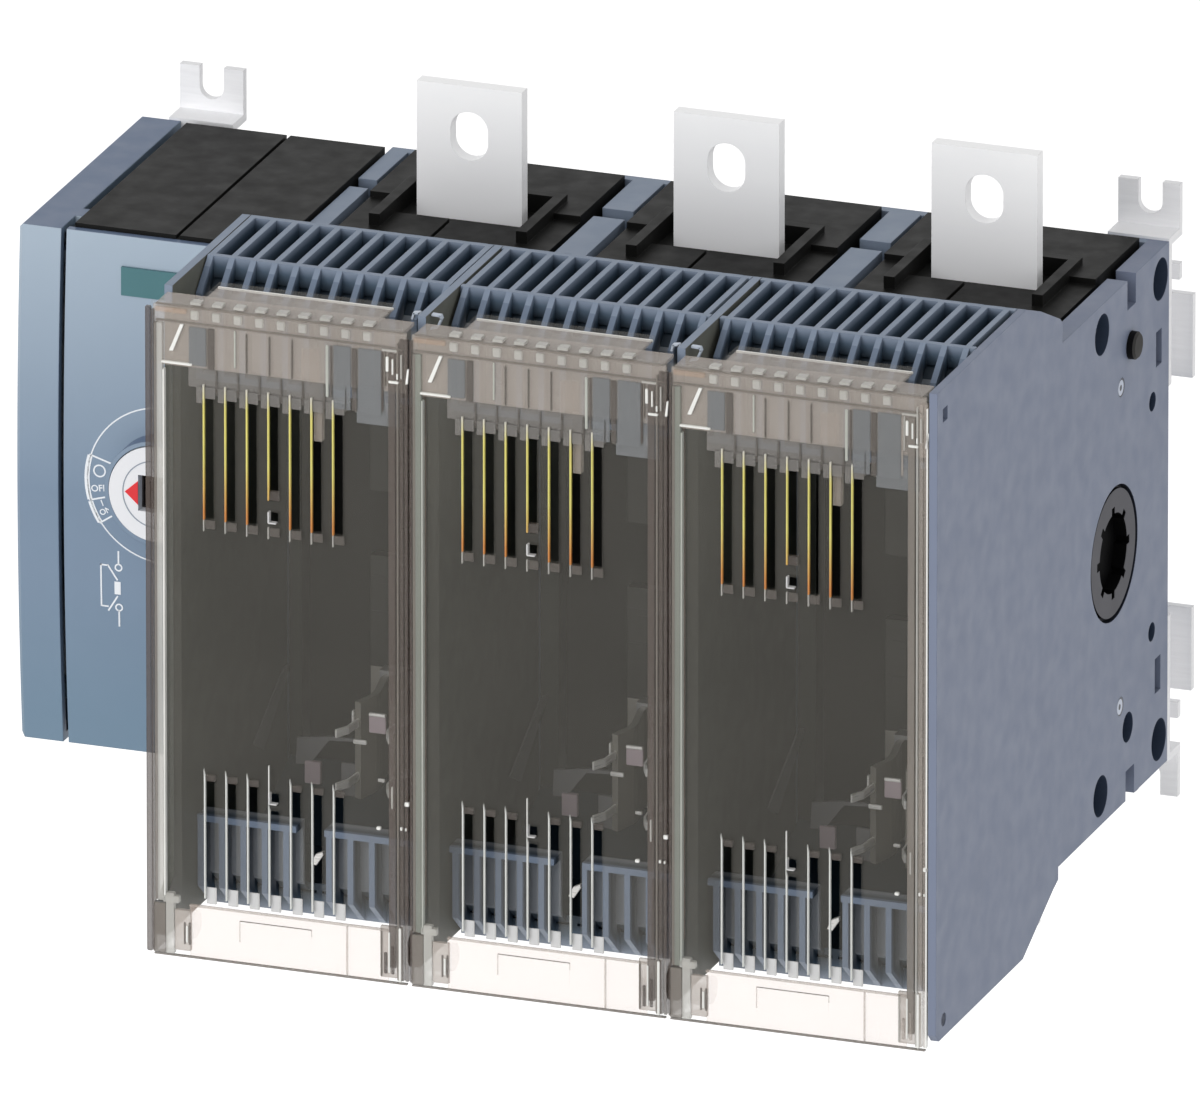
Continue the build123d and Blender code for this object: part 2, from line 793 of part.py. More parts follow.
# Black housing of the mechanism, its bearing plate and its drive
with BuildPart() as black_box:
    with BuildSketch(side_plane(black_left)):
        depth_span(0, black_front_depth, black_bottom, black_top)
        depth_span(0, rear_rebate, black_top - rear_rebate, black_top, Mode.SUBTRACT)
    extrude(amount=black_right - black_left)
    inner_low = black_bottom + black_wall
    inner_high = black_top - black_wall
    with BuildSketch(side_plane(black_left + black_wall)):
        depth_span(black_wall, black_front_depth - black_wall, inner_low, inner_high)
        depth_span(0, 2 * rear_rebate, inner_high - rear_rebate, inner_high, Mode.SUBTRACT)
    extrude(amount=black_right - black_left - 2 * black_wall, mode=Mode.SUBTRACT)
    with BuildSketch(side_plane(black_left)):
        disc(shaft_depth, 0, shaft_journal_radius + running_gap)
    extrude(amount=black_wall, mode=Mode.SUBTRACT)
    with BuildSketch(side_plane(black_right - black_wall)):
        disc(shaft_depth, 0, shaft_pass_radius)
    extrude(amount=black_wall, mode=Mode.SUBTRACT)
    rail_inset = slide_front_half_width + fit_gap
    for rail_x in (gear_x - rail_inset - rail_thick, gear_x + rail_inset):
        with BuildSketch(side_plane(rail_x)):
            depth_span(black_wall, slide_front_depth, -rail_half_height, rail_half_height)
            with Locations((shaft_y, 0)):
                Circle(shaft_pass_radius, mode=Mode.SUBTRACT)
        extrude(amount=rail_thick)
    with BuildSketch(front_plane(black_front_depth - black_wall)):
        with Locations((dial_x, dial_z)):
            Circle(sleeve_radius + sleeve_pass_gap)
    extrude(amount=black_wall, mode=Mode.SUBTRACT)
    with BuildSketch(Plane.XY.offset(black_top - seam_groove_deep)):
        span(black_seam - seam_groove / 2, black_seam + seam_groove / 2, at(black_front_depth), at(0))
    extrude(amount=seam_groove_deep, mode=Mode.SUBTRACT)
    with BuildSketch(front_plane(0)):
        with Locations(*[(left_screw_x, side * foot_screw_z) for side in (1, -1)]):
            Circle(foot_screw_radius)
    extrude(amount=black_wall, mode=Mode.SUBTRACT)

for name, keep in (("left", Keep.BOTTOM), ("right", Keep.TOP)):
    with BuildPart() as housing_half:
        add(black_box.part)
        split(bisect_by=side_plane(black_seam), keep=keep)
    write(housing_half, f"mechanism_housing_{name}")

with BuildPart() as bearing_plate:
    with BuildSketch(front_plane(bearing_depth)):
        span(black_left + black_wall, black_right - black_wall, -bearing_half_height, bearing_half_height)
        with Locations((dial_x, dial_z)):
            Circle(sleeve_radius + running_gap, mode=Mode.SUBTRACT)
    extrude(amount=bearing_thick)
write(bearing_plate, "bearing_plate")

with BuildPart() as dial_disc:
    with BuildSketch(front_plane(dial_back_depth)):
        with Locations((dial_x, dial_z)):
            Circle(dial_radius)
            Rectangle(dial_square, dial_square, mode=Mode.SUBTRACT)
    extrude(amount=dial_thick)
write(dial_disc, "dial_disc")

with BuildPart() as dial_pointer:
    with BuildSketch(front_plane(dial_face_depth)):
        with BuildLine():
            base_x = dial_x - dial_square / 2
            corners = [(dial_x - pointer_tip, dial_z)]
            corners += [(base_x, dial_z + side * pointer_half) for side in (1, -1)]
            Polyline(corners, close=True)
        make_face()
    extrude(amount=pointer_thick)
write(dial_pointer, "dial_pointer")

with BuildPart() as drive_sleeve:
    with BuildSketch(front_plane(sleeve_back_depth)):
        with Locations((dial_x, dial_z)):
            Circle(sleeve_radius)
    extrude(amount=dial_back_depth - sleeve_back_depth)
    with BuildSketch(front_plane(dial_face_depth - socket_long)):
        with Locations((dial_x, dial_z)):
            Rectangle(socket_square, socket_square)
    extrude(amount=socket_long, mode=Mode.SUBTRACT)
write(drive_sleeve, "drive_sleeve")

with BuildPart() as drive_crank:
    with BuildSketch(front_plane(crank_back_depth)):
        with Locations((dial_x, dial_z)):
            Circle(sleeve_radius + crank_hub_wall)
        with Locations((pin_rest_x, pin_rest_z)):
            Circle(pin_radius + crank_eye_wall)
        make_hull()
        with Locations((dial_x, dial_z)):
            Circle(sleeve_radius, mode=Mode.SUBTRACT)
    extrude(amount=crank_thick)
    with BuildSketch(front_plane(crank_back_depth)):
        with Locations((pin_rest_x, pin_rest_z)):
            Circle(pin_radius)
    extrude(amount=-pin_long)
write(drive_crank, "drive_crank")


def rack_outline():
    """Side outline of the slide's rack side, with teeth that reach back to the pinion."""
    pitch = pi * gear_module
    pitch_line = shaft_depth + gear_radius
    half = (pitch / 2 - gear_backlash) / 2
    tip_half = half - rack_addendum * tan(radians(pressure_angle))
    root_half = half + rack_dedendum * tan(radians(pressure_angle))
    tip_depth = pitch_line - rack_addendum
    root_depth = pitch_line + rack_dedendum
    points = [(slide_step_depth, -slide_half_height), (root_depth, -slide_half_height)]
    for tooth in range(-rack_teeth_below, rack_teeth_above + 1):
        middle = tooth * pitch
        points += [(root_depth, middle - root_half), (tip_depth, middle - tip_half)]
        points += [(tip_depth, middle + tip_half), (root_depth, middle + root_half)]
    return points + [(root_depth, slide_half_height), (slide_step_depth, slide_half_height)]


with BuildPart() as drive_slide:
    with BuildSketch(side_plane(gear_x - gear_width / 2)):
        side_outline(rack_outline())
    extrude(amount=gear_width)
    with BuildSketch(side_plane(gear_x - slide_front_half_width)):
        depth_span(slide_step_depth, slide_front_depth, -slide_half_height, slide_half_height)
    extrude(amount=2 * slide_front_half_width)
    with BuildSketch(front_plane(crank_back_depth - pin_long - pin_end_gap)):
        with Locations(((pin_rest_x + gear_x) / 2, pin_rest_z)):
            slot_long = 2 * pin_radius + gear_x - pin_rest_x + 2 * fit_gap
            Rectangle(slot_long, 2 * (pin_radius + slot_clear))
    extrude(amount=pin_long + pin_end_gap - crank_gap, mode=Mode.SUBTRACT)
write(drive_slide, "drive_slide")

spring_low = slide_half_height + spring_wire / 2
spring_long = black_top - black_wall - spring_wire / 2 - spring_low
spring_centre = (gear_x, at(slide_step_depth + slide_thick / 2), spring_low)
with BuildPart() as slide_spring:
    with BuildLine():
        coil = Helix(spring_long / spring_turns, spring_long, spring_radius, center=spring_centre)
    with BuildSketch(Plane(origin=coil @ 0, z_dir=coil % 0)):
        Circle(spring_wire / 2)
    sweep(is_frenet=True)
write(slide_spring, "slide_spring")


# Fuse block walls
block_shoulder = shoulder_points + [(shoulder_run, block_rise)]
block_skirt = skirt_points + [(skirt_run, block_drop)]
shoulder_edge = [(base_depth, half_height + shoulder_step)]
shoulder_edge += [(base_depth + depth, half_height + rise) for depth, rise in block_shoulder]
skirt_edge = [(base_depth + depth, -half_height - drop) for depth, drop in reversed(block_skirt)]
skirt_root = (base_depth + skirt_points[0][0], -half_height)
hinge_spot = (at(hinge_depth), hinge_z)


def hinge_wall(x_low, x_high):
    """Wall of the fuse block that ends in a rounded hinge ear behind the covers."""
    ear_front = hinge_depth + hinge_boss
    ear_low = hinge_z - hinge_boss
    slope = (skirt_edge[1][1] - skirt_edge[0][1]) / (skirt_edge[0][0] - skirt_edge[1][0])
    skirt_end = skirt_edge[0][0] - (ear_low - block_bottom) / slope
    outline = shoulder_edge + [(partition_front, block_top), (partition_front, hinge_z + 3 * hinge_boss)]
    outline += [(ear_front, hinge_z + hinge_boss), (ear_front, hinge_z), (hinge_depth, hinge_z)]
    outline += [(hinge_depth, ear_low), (skirt_end, ear_low)] + skirt_edge[1:]
    outline += [skirt_root, (base_depth, -half_height)]
    with BuildPart() as wall:
        with BuildSketch(side_plane(x_low)):
            side_outline(outline)
            disc(hinge_depth, hinge_z, hinge_boss)
            with Locations(hinge_spot):
                Circle(stub_radius + running_gap, mode=Mode.SUBTRACT)
        extrude(amount=x_high - x_low)
    return wall


write(hinge_wall(fuse_panel_left, fuse_panel_left + panel_thick), "left_side_panel")
for number, x in enumerate(wall_lines, 1):
    write(hinge_wall(x - panel_thick / 2, x + panel_thick / 2), f"fuse_partition_{number}")

panel_holes = [(lower_hole_depth, lower_hole_z, lower_hole_radius)]
for side in (1, -1):
    corner_z = side * (half_height - corner_hole_inset)
    panel_holes.append((rear_hole_depth, corner_z, rear_hole_radius))
    panel_holes.append((middle_hole_depth, corner_z, middle_hole_radius))
    panel_holes.append((guide_hole_depth, side * guide_hole_z, guide_hole_radius))

with BuildPart() as right_side_panel:
    with BuildSketch(side_plane(panel_inner)):
        outline = base_upper_edge + shoulder_edge + [(front_depth, block_top)]
        outline += [(front_depth, block_bottom + panel_corner), (front_depth - panel_corner, block_bottom)]
        outline += skirt_edge + [skirt_root] + base_lower_edge
        side_outline(outline)
    extrude(amount=panel_thick)
    with BuildSketch(side_plane(wall_inner)):
        side_outline(base_upper_edge + base_lower_edge)
    extrude(amount=panel_inner - wall_inner)
    with BuildSketch(side_plane(wall_inner)):
        disc(shaft_depth, 0, coupling_journal_radius + running_gap)
        for depth, z, radius in panel_holes:
            disc(depth, z, radius)
        disc(plug_depth, plug_z, plug_radius + plug_clear)
        with Locations(*[(at(rear_window_depth), side * rear_window_z) for side in (1, -1)]):
            Rectangle(rear_window_width, rear_window_high)
        with Locations((at(hinge_depth), -hinge_z)):
            Rectangle(front_window, front_window)
        with Locations(hinge_spot):
            Circle(stub_radius + running_gap)
    extrude(amount=right_wall, mode=Mode.SUBTRACT)
    with BuildSketch(side_plane(right_face - coupling_recess)):
        disc(shaft_depth, 0, coupling_flange_radius + coupling_ring_gap)
    extrude(amount=coupling_recess, mode=Mode.SUBTRACT)
    with BuildSketch(side_plane(right_face - panel_screw_long)):
        for side in (1, -1):
            disc(panel_screw_depth, side * panel_screw_z, panel_screw_radius + panel_screw_clear)
    extrude(amount=panel_screw_long, mode=Mode.SUBTRACT)
write(right_side_panel, "right_side_panel")

with BuildPart() as side_plug:
    with BuildSketch(side_plane(wall_inner + plug_sink)):
        disc(plug_depth, plug_z, plug_radius)
    extrude(amount=right_wall - plug_sink + plug_proud)
    chamfer(side_plug.edges().sort_by(Axis.X)[-1], plug_chamfer)
write(side_plug, "side_plug")


# Grilles
def flip(z, side):
    """Height in the lower grille that answers to a height in the upper one."""
    return z if side > 0 else block_top + block_bottom - z


def grille(x_low, x_high, gap_x, side):
    """Ribbed grille over or under a fuse compartment. The lower one's front has a gap."""
    lip_end = block_top - upper_lip_long if side > 0 else block_top - lower_lip_long
    start = base_depth + fit_gap
    nose_from = grille_front - grille_nose
    outer = [(start, half_height + shoulder_step)] + shoulder_edge[1:]
    outer += [(nose_from, block_top), (grille_front, block_top - grille_nose_drop), (grille_front, lip_end)]

    def inset(amount):
        """Corners of the outer line moved inward, with the first one kept in its plane."""
        moved = [(start, outer[0][1] - amount)]
        for before, corner, after in zip(outer, outer[1:], outer[2:]):
            back = Vector(corner[0] - before[0], corner[1] - before[1]).normalized()
            ahead = Vector(after[0] - corner[0], after[1] - corner[1]).normalized()
            across = Vector(back.Y + ahead.Y, -back.X - ahead.X) * (amount / (1 + back.dot(ahead)))
            moved.append((corner[0] + across.X, corner[1] + across.Y))
        return moved + [(grille_front - amount, lip_end)]

    def band(inner, outer_line):
        """Closed band between two lines, flipped for the lower grille."""
        points = outer_line + list(reversed(inner))
        return [(depth, flip(z, side)) for depth, z in points]

    rib_root = rib_high + grille_floor / 2
    rib_count = int((x_high - x_low - rib_thick) // rib_pitch) + 1
    first = (x_low + x_high - rib_pitch * (rib_count - 1)) / 2
    bend = base_depth + shoulder_run
    ridges = [
        (start, start + ridge_thick, half_height + ridge_lift, half_height + shoulder_step),
        (bend, bend + ridge_thick, block_top - rib_root, block_top),
        (nose_from - ridge_thick, nose_from, block_top - rib_root, block_top),
        (grille_front - rib_root, grille_front, lip_end, lip_end + ridge_thick),
    ]
    with BuildPart() as piece:
        with BuildSketch(side_plane(x_low)):
            side_outline(band(inset(rib_high + grille_floor), inset(rib_high)))
        extrude(amount=x_high - x_low)
        for index in range(rib_count):
            with BuildSketch(side_plane(first + index * rib_pitch - rib_thick / 2)):
                side_outline(band(inset(rib_root), outer))
            extrude(amount=rib_thick)
        with BuildSketch(side_plane(x_low)):
            for ridge_from, ridge_to, z_low, z_high in ridges:
                low, high = sorted((flip(z_low, side), flip(z_high, side)))
                depth_span(ridge_from, ridge_to, low, high)
        extrude(amount=x_high - x_low)
        if side < 0:
            with BuildSketch(front_plane(nose_from)):
                gap_low = gap_x - lower_gap_width / 2
                span(gap_low, gap_low + lower_gap_width, block_bottom, flip(lip_end, side))
            extrude(amount=grille_nose, mode=Mode.SUBTRACT)
    return piece


compartment_lines = [fuse_panel_left + panel_thick / 2] + wall_lines + [panel_inner + panel_thick / 2]
for number in (1, 2, 3):
    x_low = compartment_lines[number - 1] + panel_thick / 2 + fit_gap
    x_high = compartment_lines[number] - panel_thick / 2 - fit_gap
    gap_x = cover_edges[number - 1] + pole_pitch / 2 + lower_gap_shift
    write(grille(x_low, x_high, gap_x, 1), f"upper_grille_{number}")
    write(grille(x_low, x_high, gap_x, -1), f"lower_grille_{number}")


# Fuse covers
def cover_corner_block(x_low, x_high):
    """Rounded block behind the cover's lower corner, which carries its hinge stub."""
    plate_back = front_depth - cover_plate
    with BuildSketch(side_plane(x_low)) as profile:
        disc(hinge_depth, hinge_z, hinge_boss - fit_gap)
        depth_span(hinge_depth, plate_back, hinge_z - hinge_web_half, hinge_z + hinge_web_half)
    extrude(profile.sketch, amount=x_high - x_low)


def hinge_stub(x_low, x_high):
    """Round stub on the hinge axis."""
    with BuildSketch(side_plane(x_low)) as profile:
        disc(hinge_depth, hinge_z, stub_radius)
    extrude(profile.sketch, amount=x_high - x_low)


def fuse_cover(edge, left_stub_end, right_stub_end):
    """Clear cover with probe slots, side walls, a top lip and hinge stubs."""
    plate_back = front_depth - cover_plate
    left_wall_x = edge + cover_wall_inset
    right_wall_x = edge + pole_pitch - cover_wall_right_inset
    catch_x = edge + pole_pitch - catch_inset
    label_spot = (edge + pole_pitch / 2 + cover_label_shift, cover_bottom + cover_label_lift)
    with BuildPart() as cover:
        with BuildSketch(front_plane(plate_back)):
            span(edge + cover_gap, edge + pole_pitch - cover_gap, cover_bottom, cover_top)
        extrude(amount=cover_plate)
        chamfer(cover.faces().sort_by(Axis.Y)[0].edges(), cover_chamfer)
        for wall_x in (left_wall_x, right_wall_x - cover_wall):
            with BuildSketch(side_plane(wall_x)):
                wall_low = cover_bottom + cover_wall_low_inset
                depth_span(partition_front, plate_back, wall_low, cover_top - cover_wall_top_inset)
            extrude(amount=cover_wall)
        with BuildSketch(Plane.XY.offset(cover_top - lip_thick)):
            lip_right = edge + pole_pitch - lip_right_inset
            span(edge + lip_left_inset, lip_right, at(plate_back), at(front_depth - lip_reach))
        extrude(amount=lip_thick)
        with BuildSketch(Plane.XY.offset(cover_top - tooth_sink)):
            for tooth in range(slot_count + 2):
                tooth_x = edge + slot_first + slot_width / 2 + tooth_shift + (tooth - 1) * slot_pitch
                with Locations((tooth_x, at(front_depth - tooth_setback - tooth_size / 2))):
                    Rectangle(tooth_size, tooth_size)
        extrude(amount=tooth_sink + tooth_high)
        cover_corner_block(left_wall_x, left_wall_x + cover_wall + hinge_block)
        cover_corner_block(right_wall_x - cover_wall - hinge_block, right_wall_x)
        hinge_stub(left_stub_end, left_wall_x)
        hinge_stub(right_wall_x, right_stub_end)
        with BuildSketch(Plane.XY.offset(cover_top - catch_drop - catch_long)):
            with Locations((catch_x, at(hinge_depth))):
                Circle(catch_radius)
            span(catch_x - catch_web_half, catch_x + catch_web_half, at(plate_back), at(hinge_depth))
        extrude(amount=catch_long)
        with BuildSketch(front_plane(plate_back)):
            for index in range(slot_count):
                x_low = edge + slot_first + index * slot_pitch
                x_high = x_low + slot_width
                cut = short_slot_cut if index == slot_count // 2 else 0
                upper_low = upper_slot_high - upper_slot_long
                lower_high = lower_slot_low + lower_slot_long
                span(x_low, x_high, upper_low + cut, upper_slot_high)
                span(x_low, x_high, lower_slot_low, lower_high - cut)
                if cut:
                    upper_low += upper_window_inset
                    lower_high -= lower_window_inset
                    span(x_low, x_high, upper_low, upper_low + window_small)
                    span(x_low, x_high, lower_high - window_small, lower_high)
        extrude(amount=cover_plate, mode=Mode.SUBTRACT)
        with BuildSketch(front_plane(front_depth - cover_label_deep)):
            with Locations(label_spot):
                Rectangle(cover_label_width, cover_label_high, align=(Align.CENTER, Align.MIN))
        extrude(amount=cover_label_deep, mode=Mode.SUBTRACT)
    return cover


for number, edge in enumerate(cover_edges, 1):
    left_end = (fuse_panel_left if number == 1 else edge) + fit_gap
    right_end = right_face - fit_gap if number == len(cover_edges) else edge + pole_pitch - fit_gap
    write(fuse_cover(edge, left_end, right_end), f"fuse_cover_{number}")


# Feet and screws
def foot(x_low, x_high, slot_x, screw_x, side, ears):
    """Joggled sheet foot with an open slot, and support ears on the right-hand feet."""
    with BuildPart() as bracket:
        with BuildSketch(side_plane(x_low)):
            outline = [
                (0, foot_top),
                (0, foot_joggle_z - foot_thick),
                (base_y + foot_thick, foot_joggle_z - foot_thick),
                (base_y + foot_thick, foot_joggle_z - foot_strip_long),
                (base_y, foot_joggle_z - foot_strip_long),
                (base_y, foot_joggle_z),
                (-foot_thick, foot_joggle_z),
                (-foot_thick, foot_top),
            ]
            with BuildLine():
                Polyline([(y, side * z) for y, z in outline], close=True)
            make_face()
        extrude(amount=x_high - x_low)
        if ears:
            ear_high = foot_joggle_z - ear_drop
            tab_high = foot_joggle_z - tab_drop
            for reach, high, long in ((0, tab_high, tab_long), (ear_reach, ear_high, ear_long)):
                z_low, z_high = sorted((side * (high - long), side * high))
                with BuildSketch(front_plane(-standoff)):
                    span(x_high - ear_width, x_high + reach, z_low, z_high)
                extrude(amount=foot_thick)
                with BuildSketch(side_plane(x_high - ear_width)):
                    span(base_y, 0, z_low, z_high)
                extrude(amount=foot_thick)
        with BuildSketch(front_plane(-standoff)):
            z_low, z_high = sorted((side * foot_notch_z, side * foot_top))
            with Locations((slot_x, side * foot_notch_z)):
                Circle(foot_notch / 2)
            span(slot_x - foot_notch / 2, slot_x + foot_notch / 2, z_low, z_high)
        extrude(amount=foot_thick, mode=Mode.SUBTRACT)
        with BuildSketch(front_plane(-foot_thick)):
            with Locations((screw_x, side * foot_screw_z)):
                Circle(foot_screw_radius)
        extrude(amount=foot_thick, mode=Mode.SUBTRACT)
    return bracket


for name, side in (("upper", 1), ("lower", -1)):
    left_low = left_foot_x - foot_width / 2
    right_low = right_foot_x - foot_width / 2
    left_foot = foot(left_low, left_low + foot_width, left_foot_x, left_screw_x, side, False)
    right_foot = foot(right_low, right_face, right_foot_x, right_screw_x, side, True)
    write(left_foot, f"{name}_left_foot")
    write(right_foot, f"{name}_right_foot")

with BuildPart() as housing_screws:
    screw_spots = [(x, side * foot_screw_z) for x in (left_screw_x, right_screw_x) for side in (1, -1)]
    with BuildSketch(front_plane(-foot_thick - foot_screw_head_thick)):
        with Locations(*screw_spots):
            Circle(foot_screw_head)
    extrude(amount=foot_screw_head_thick)
    with BuildSketch(front_plane(-foot_thick)):
        with Locations(*screw_spots):
            Circle(foot_screw_radius)
    extrude(amount=foot_thick + black_wall)
    with BuildSketch(side_plane(right_face - panel_screw_long)):
        for side in (1, -1):
            disc(panel_screw_depth, side * panel_screw_z, panel_screw_radius)
    extrude(amount=panel_screw_long)
write(housing_screws, "housing_screws")
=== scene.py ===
from math import cos, pi, radians, sin

import bmesh
import bpy
from mathutils import Matrix, Vector


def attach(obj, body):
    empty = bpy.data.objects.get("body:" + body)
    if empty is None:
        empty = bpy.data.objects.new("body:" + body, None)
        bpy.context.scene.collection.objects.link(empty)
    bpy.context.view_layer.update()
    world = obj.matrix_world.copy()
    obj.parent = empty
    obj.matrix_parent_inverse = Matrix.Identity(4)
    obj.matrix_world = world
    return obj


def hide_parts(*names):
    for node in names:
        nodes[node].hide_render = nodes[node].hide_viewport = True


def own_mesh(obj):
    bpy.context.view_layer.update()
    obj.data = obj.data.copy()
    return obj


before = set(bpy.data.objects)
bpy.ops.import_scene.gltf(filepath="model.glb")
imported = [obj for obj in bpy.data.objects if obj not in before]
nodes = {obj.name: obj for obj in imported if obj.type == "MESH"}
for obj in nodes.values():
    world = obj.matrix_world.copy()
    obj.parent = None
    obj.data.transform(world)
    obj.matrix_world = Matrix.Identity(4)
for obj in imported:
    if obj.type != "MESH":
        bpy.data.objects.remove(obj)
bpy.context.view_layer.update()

STANDOFF = 14.0
COVER_EDGES = [-98.4, -2.4, 93.6]
COVER_TO_CENTRE = 50.4
HALF_PITCH = 48.0
LEFT_WALL_X = -95.0
DIAL_X = -137.0
DIAL_Z = 6.8
# The bowed front plate: depth of its crown, the crown's height, and the divisor of its fall
PLATE_CROWN = 124.0
PLATE_CROWN_Z = 1.0
PLATE_BOW = 2308.0
PRINT_LIFT = 0.12
PRINT_SINK = 0.1
TEXT_EXTRUDE = 0.06


# Coordinates: x and z of the shared frame, depth counted forward from the housing's back, all in mm

def place(x, depth, z):
    return Vector((x, -(STANDOFF + depth), z)) / 1000.0


def plate_depth(z):
    """Depth of the bowed front plate's outer surface at height z."""
    return PLATE_CROWN - (z - PLATE_CROWN_Z) ** 2 / PLATE_BOW


def linear(rgb):
    """0 to 255 display values as linear ones, with alpha 1."""
    out = []
    for value in rgb:
        share = value / 255.0
        out.append(share / 12.92 if share <= 0.04045 else ((share + 0.055) / 1.055) ** 2.4)
    return (*out, 1.0)


# Materials

NOISE_SPAN = (0.3, 0.7)


class Shade:
    """A Principled material whose colour, roughness and bump come from procedural nodes."""

    def __init__(self, name, rough=0.5, metallic=0.0, specular=0.5):
        self.material = bpy.data.materials.new(name)
        self.material.use_nodes = True
        self.tree = self.material.node_tree
        self.shader = self.tree.nodes["Principled BSDF"]
        self.shader.inputs["Roughness"].default_value = rough
        self.shader.inputs["Metallic"].default_value = metallic
        self.shader.inputs["Specular IOR Level"].default_value = specular
        self.coords = self.tree.nodes.new("ShaderNodeTexCoord")
        self.split = self.tree.nodes.new("ShaderNodeSeparateXYZ")
        self.link(self.coords.outputs["Object"], self.split.inputs[0])
        self.turn = self.tree.nodes.new("ShaderNodeSeparateXYZ")
        self.link(self.coords.outputs["Normal"], self.turn.inputs[0])
        self.colour = None

    def link(self, source, target):
        self.tree.links.new(source, target)

    def value(self, target, source):
        """Sets an input from a number or from another node's output."""
        if isinstance(source, (int, float)):
            target.default_value = source
        else:
            self.link(source, target)

    def math(self, operation, first, second=0.0):
        node = self.tree.nodes.new("ShaderNodeMath")
        node.operation = operation
        self.value(node.inputs[0], first)
        self.value(node.inputs[1], second)
        return node.outputs[0]

    def ramp(self, source, low, high, out_low=0.0, out_high=1.0):
        node = self.tree.nodes.new("ShaderNodeMapRange")
        node.inputs["From Min"].default_value = low
        node.inputs["From Max"].default_value = high
        node.inputs["To Min"].default_value = out_low
        node.inputs["To Max"].default_value = out_high
        self.link(source, node.inputs["Value"])
        return node.outputs[0]

    def noise(self, scale, detail=2.0, stretch=None):
        node = self.tree.nodes.new("ShaderNodeTexNoise")
        node.inputs["Scale"].default_value = scale
        node.inputs["Detail"].default_value = detail
        if stretch:
            mapping = self.tree.nodes.new("ShaderNodeMapping")
            mapping.inputs["Scale"].default_value = stretch
            self.link(self.coords.outputs["Object"], mapping.inputs["Vector"])
            self.link(mapping.outputs[0], node.inputs["Vector"])
        else:
            self.link(self.coords.outputs["Object"], node.inputs["Vector"])
        return node.outputs["Fac"]

    def base(self, rgb, spread=0.05, scale=45.0, stretch=None):
        """A colour with a soft mottle of plus or minus spread."""
        node = self.tree.nodes.new("ShaderNodeMix")
        node.data_type = "RGBA"
        colour = linear(rgb)
        low = tuple(part * (1.0 - spread) for part in colour[:3])
        high = tuple(min(1.0, part * (1.0 + spread)) for part in colour[:3])
        node.inputs[6].default_value = (*low, 1.0)
        node.inputs[7].default_value = (*high, 1.0)
        self.link(self.ramp(self.noise(scale, 3.0, stretch), *NOISE_SPAN), node.inputs[0])
        self.colour = node.outputs[2]
        return self

    def layer(self, rgb, factor):
        """Another colour over the last, where factor is 1."""
        node = self.tree.nodes.new("ShaderNodeMix")
        node.data_type = "RGBA"
        self.link(factor, node.inputs[0])
        self.link(self.colour, node.inputs[6])
        node.inputs[7].default_value = linear(rgb)
        self.colour = node.outputs[2]
        return self

    def finish(self, grain=0.03, scale=1800.0, rough_spread=0.06, edge=0.0, stretch=None):
        """Fine surface grain, uneven roughness and softly rounded edges."""
        self.link(self.colour, self.shader.inputs["Base Color"])
        rough = self.shader.inputs["Roughness"].default_value
        low = max(0.0, rough - rough_spread)
        high = min(1.0, rough + rough_spread)
        uneven = self.ramp(self.noise(120.0, 2.0, stretch), *NOISE_SPAN, low, high)
        self.link(uneven, self.shader.inputs["Roughness"])
        bump = self.tree.nodes.new("ShaderNodeBump")
        bump.inputs["Strength"].default_value = grain
        bump.inputs["Distance"].default_value = 0.0004
        self.link(self.noise(scale, 2.0, stretch), bump.inputs["Height"])
        if edge:
            bevel = self.tree.nodes.new("ShaderNodeBevel")
            bevel.samples = 4
            bevel.inputs["Radius"].default_value = edge
            self.link(bevel.outputs[0], bump.inputs["Normal"])
        self.link(bump.outputs[0], self.shader.inputs["Normal"])
        return self.material


BLUE = (129, 142, 161)
DARK = (53, 56, 50)
DARK_TOP = (106, 107, 99)
DARK_BACK = (38, 41, 34)
BROWN = (104, 90, 82)
PANEL_BLUE = (118, 127, 148)
WHITE = (1.0, 1.0, 1.0, 1.0)

# Depths and heights in mm where the fuse block's inside begins and ends
BLOCK_BACK = 114.0
BASE_FRONT = 104
WALL_NOSE = 200
# Heights and places in metres, as the masks read them
INSIDE_HALF_HEIGHT = 0.0972
WALL_DARK_HIGH = 0.113
PANEL_SUNK_X = 0.1929
SOCKET_SUNK_X = 0.19255
GRILLE_NOSE = 0.1975
GRILLE_MIRROR = 0.0035
JAW_START = 0.0535

SCREW_DEPTH = 50.0
SCREW_Z = 59.5
SCREW_RADIUS = 3.4


def blue_shade(name, rgb=BLUE):
    return Shade(name, rough=0.5, specular=0.4).base(rgb, 0.018)


def forward_of(shade, depth):
    """1 further forward than depth, in mm."""
    return shade.math("LESS_THAN", shade.split.outputs["Y"], -(STANDOFF + depth) / 1000)


def high_share(shade):
    """0 up to Z 20 mm, rising to 1 at Z 90 mm."""
    return shade.ramp(shade.split.outputs["Z"], 0.02, 0.09)


def inside_mask(shade, side):
    """1 on the wall faces that look into a fuse compartment: side 1 for +X faces, -1 for -X, 0 for both."""
    facing = shade.turn.outputs["X"]
    if side == 0:
        facing = shade.math("ABSOLUTE", facing)
    elif side < 0:
        facing = shade.math("MULTIPLY", facing, -1.0)
    turned = shade.math("GREATER_THAN", facing, 0.6)
    return shade.math("MULTIPLY", turned, forward_of(shade, BLOCK_BACK))


def round_mask(shade, depth, z, radius):
    """1 within a radius of an axis along X, in mm."""
    across = shade.math("ADD", shade.split.outputs["Y"], (STANDOFF + depth) / 1000)
    up = shade.math("SUBTRACT", shade.split.outputs["Z"], z / 1000)
    reach = shade.math("ADD", shade.math("MULTIPLY", across, across), shade.math("MULTIPLY", up, up))
    return shade.math("LESS_THAN", reach, (radius / 1000) ** 2)


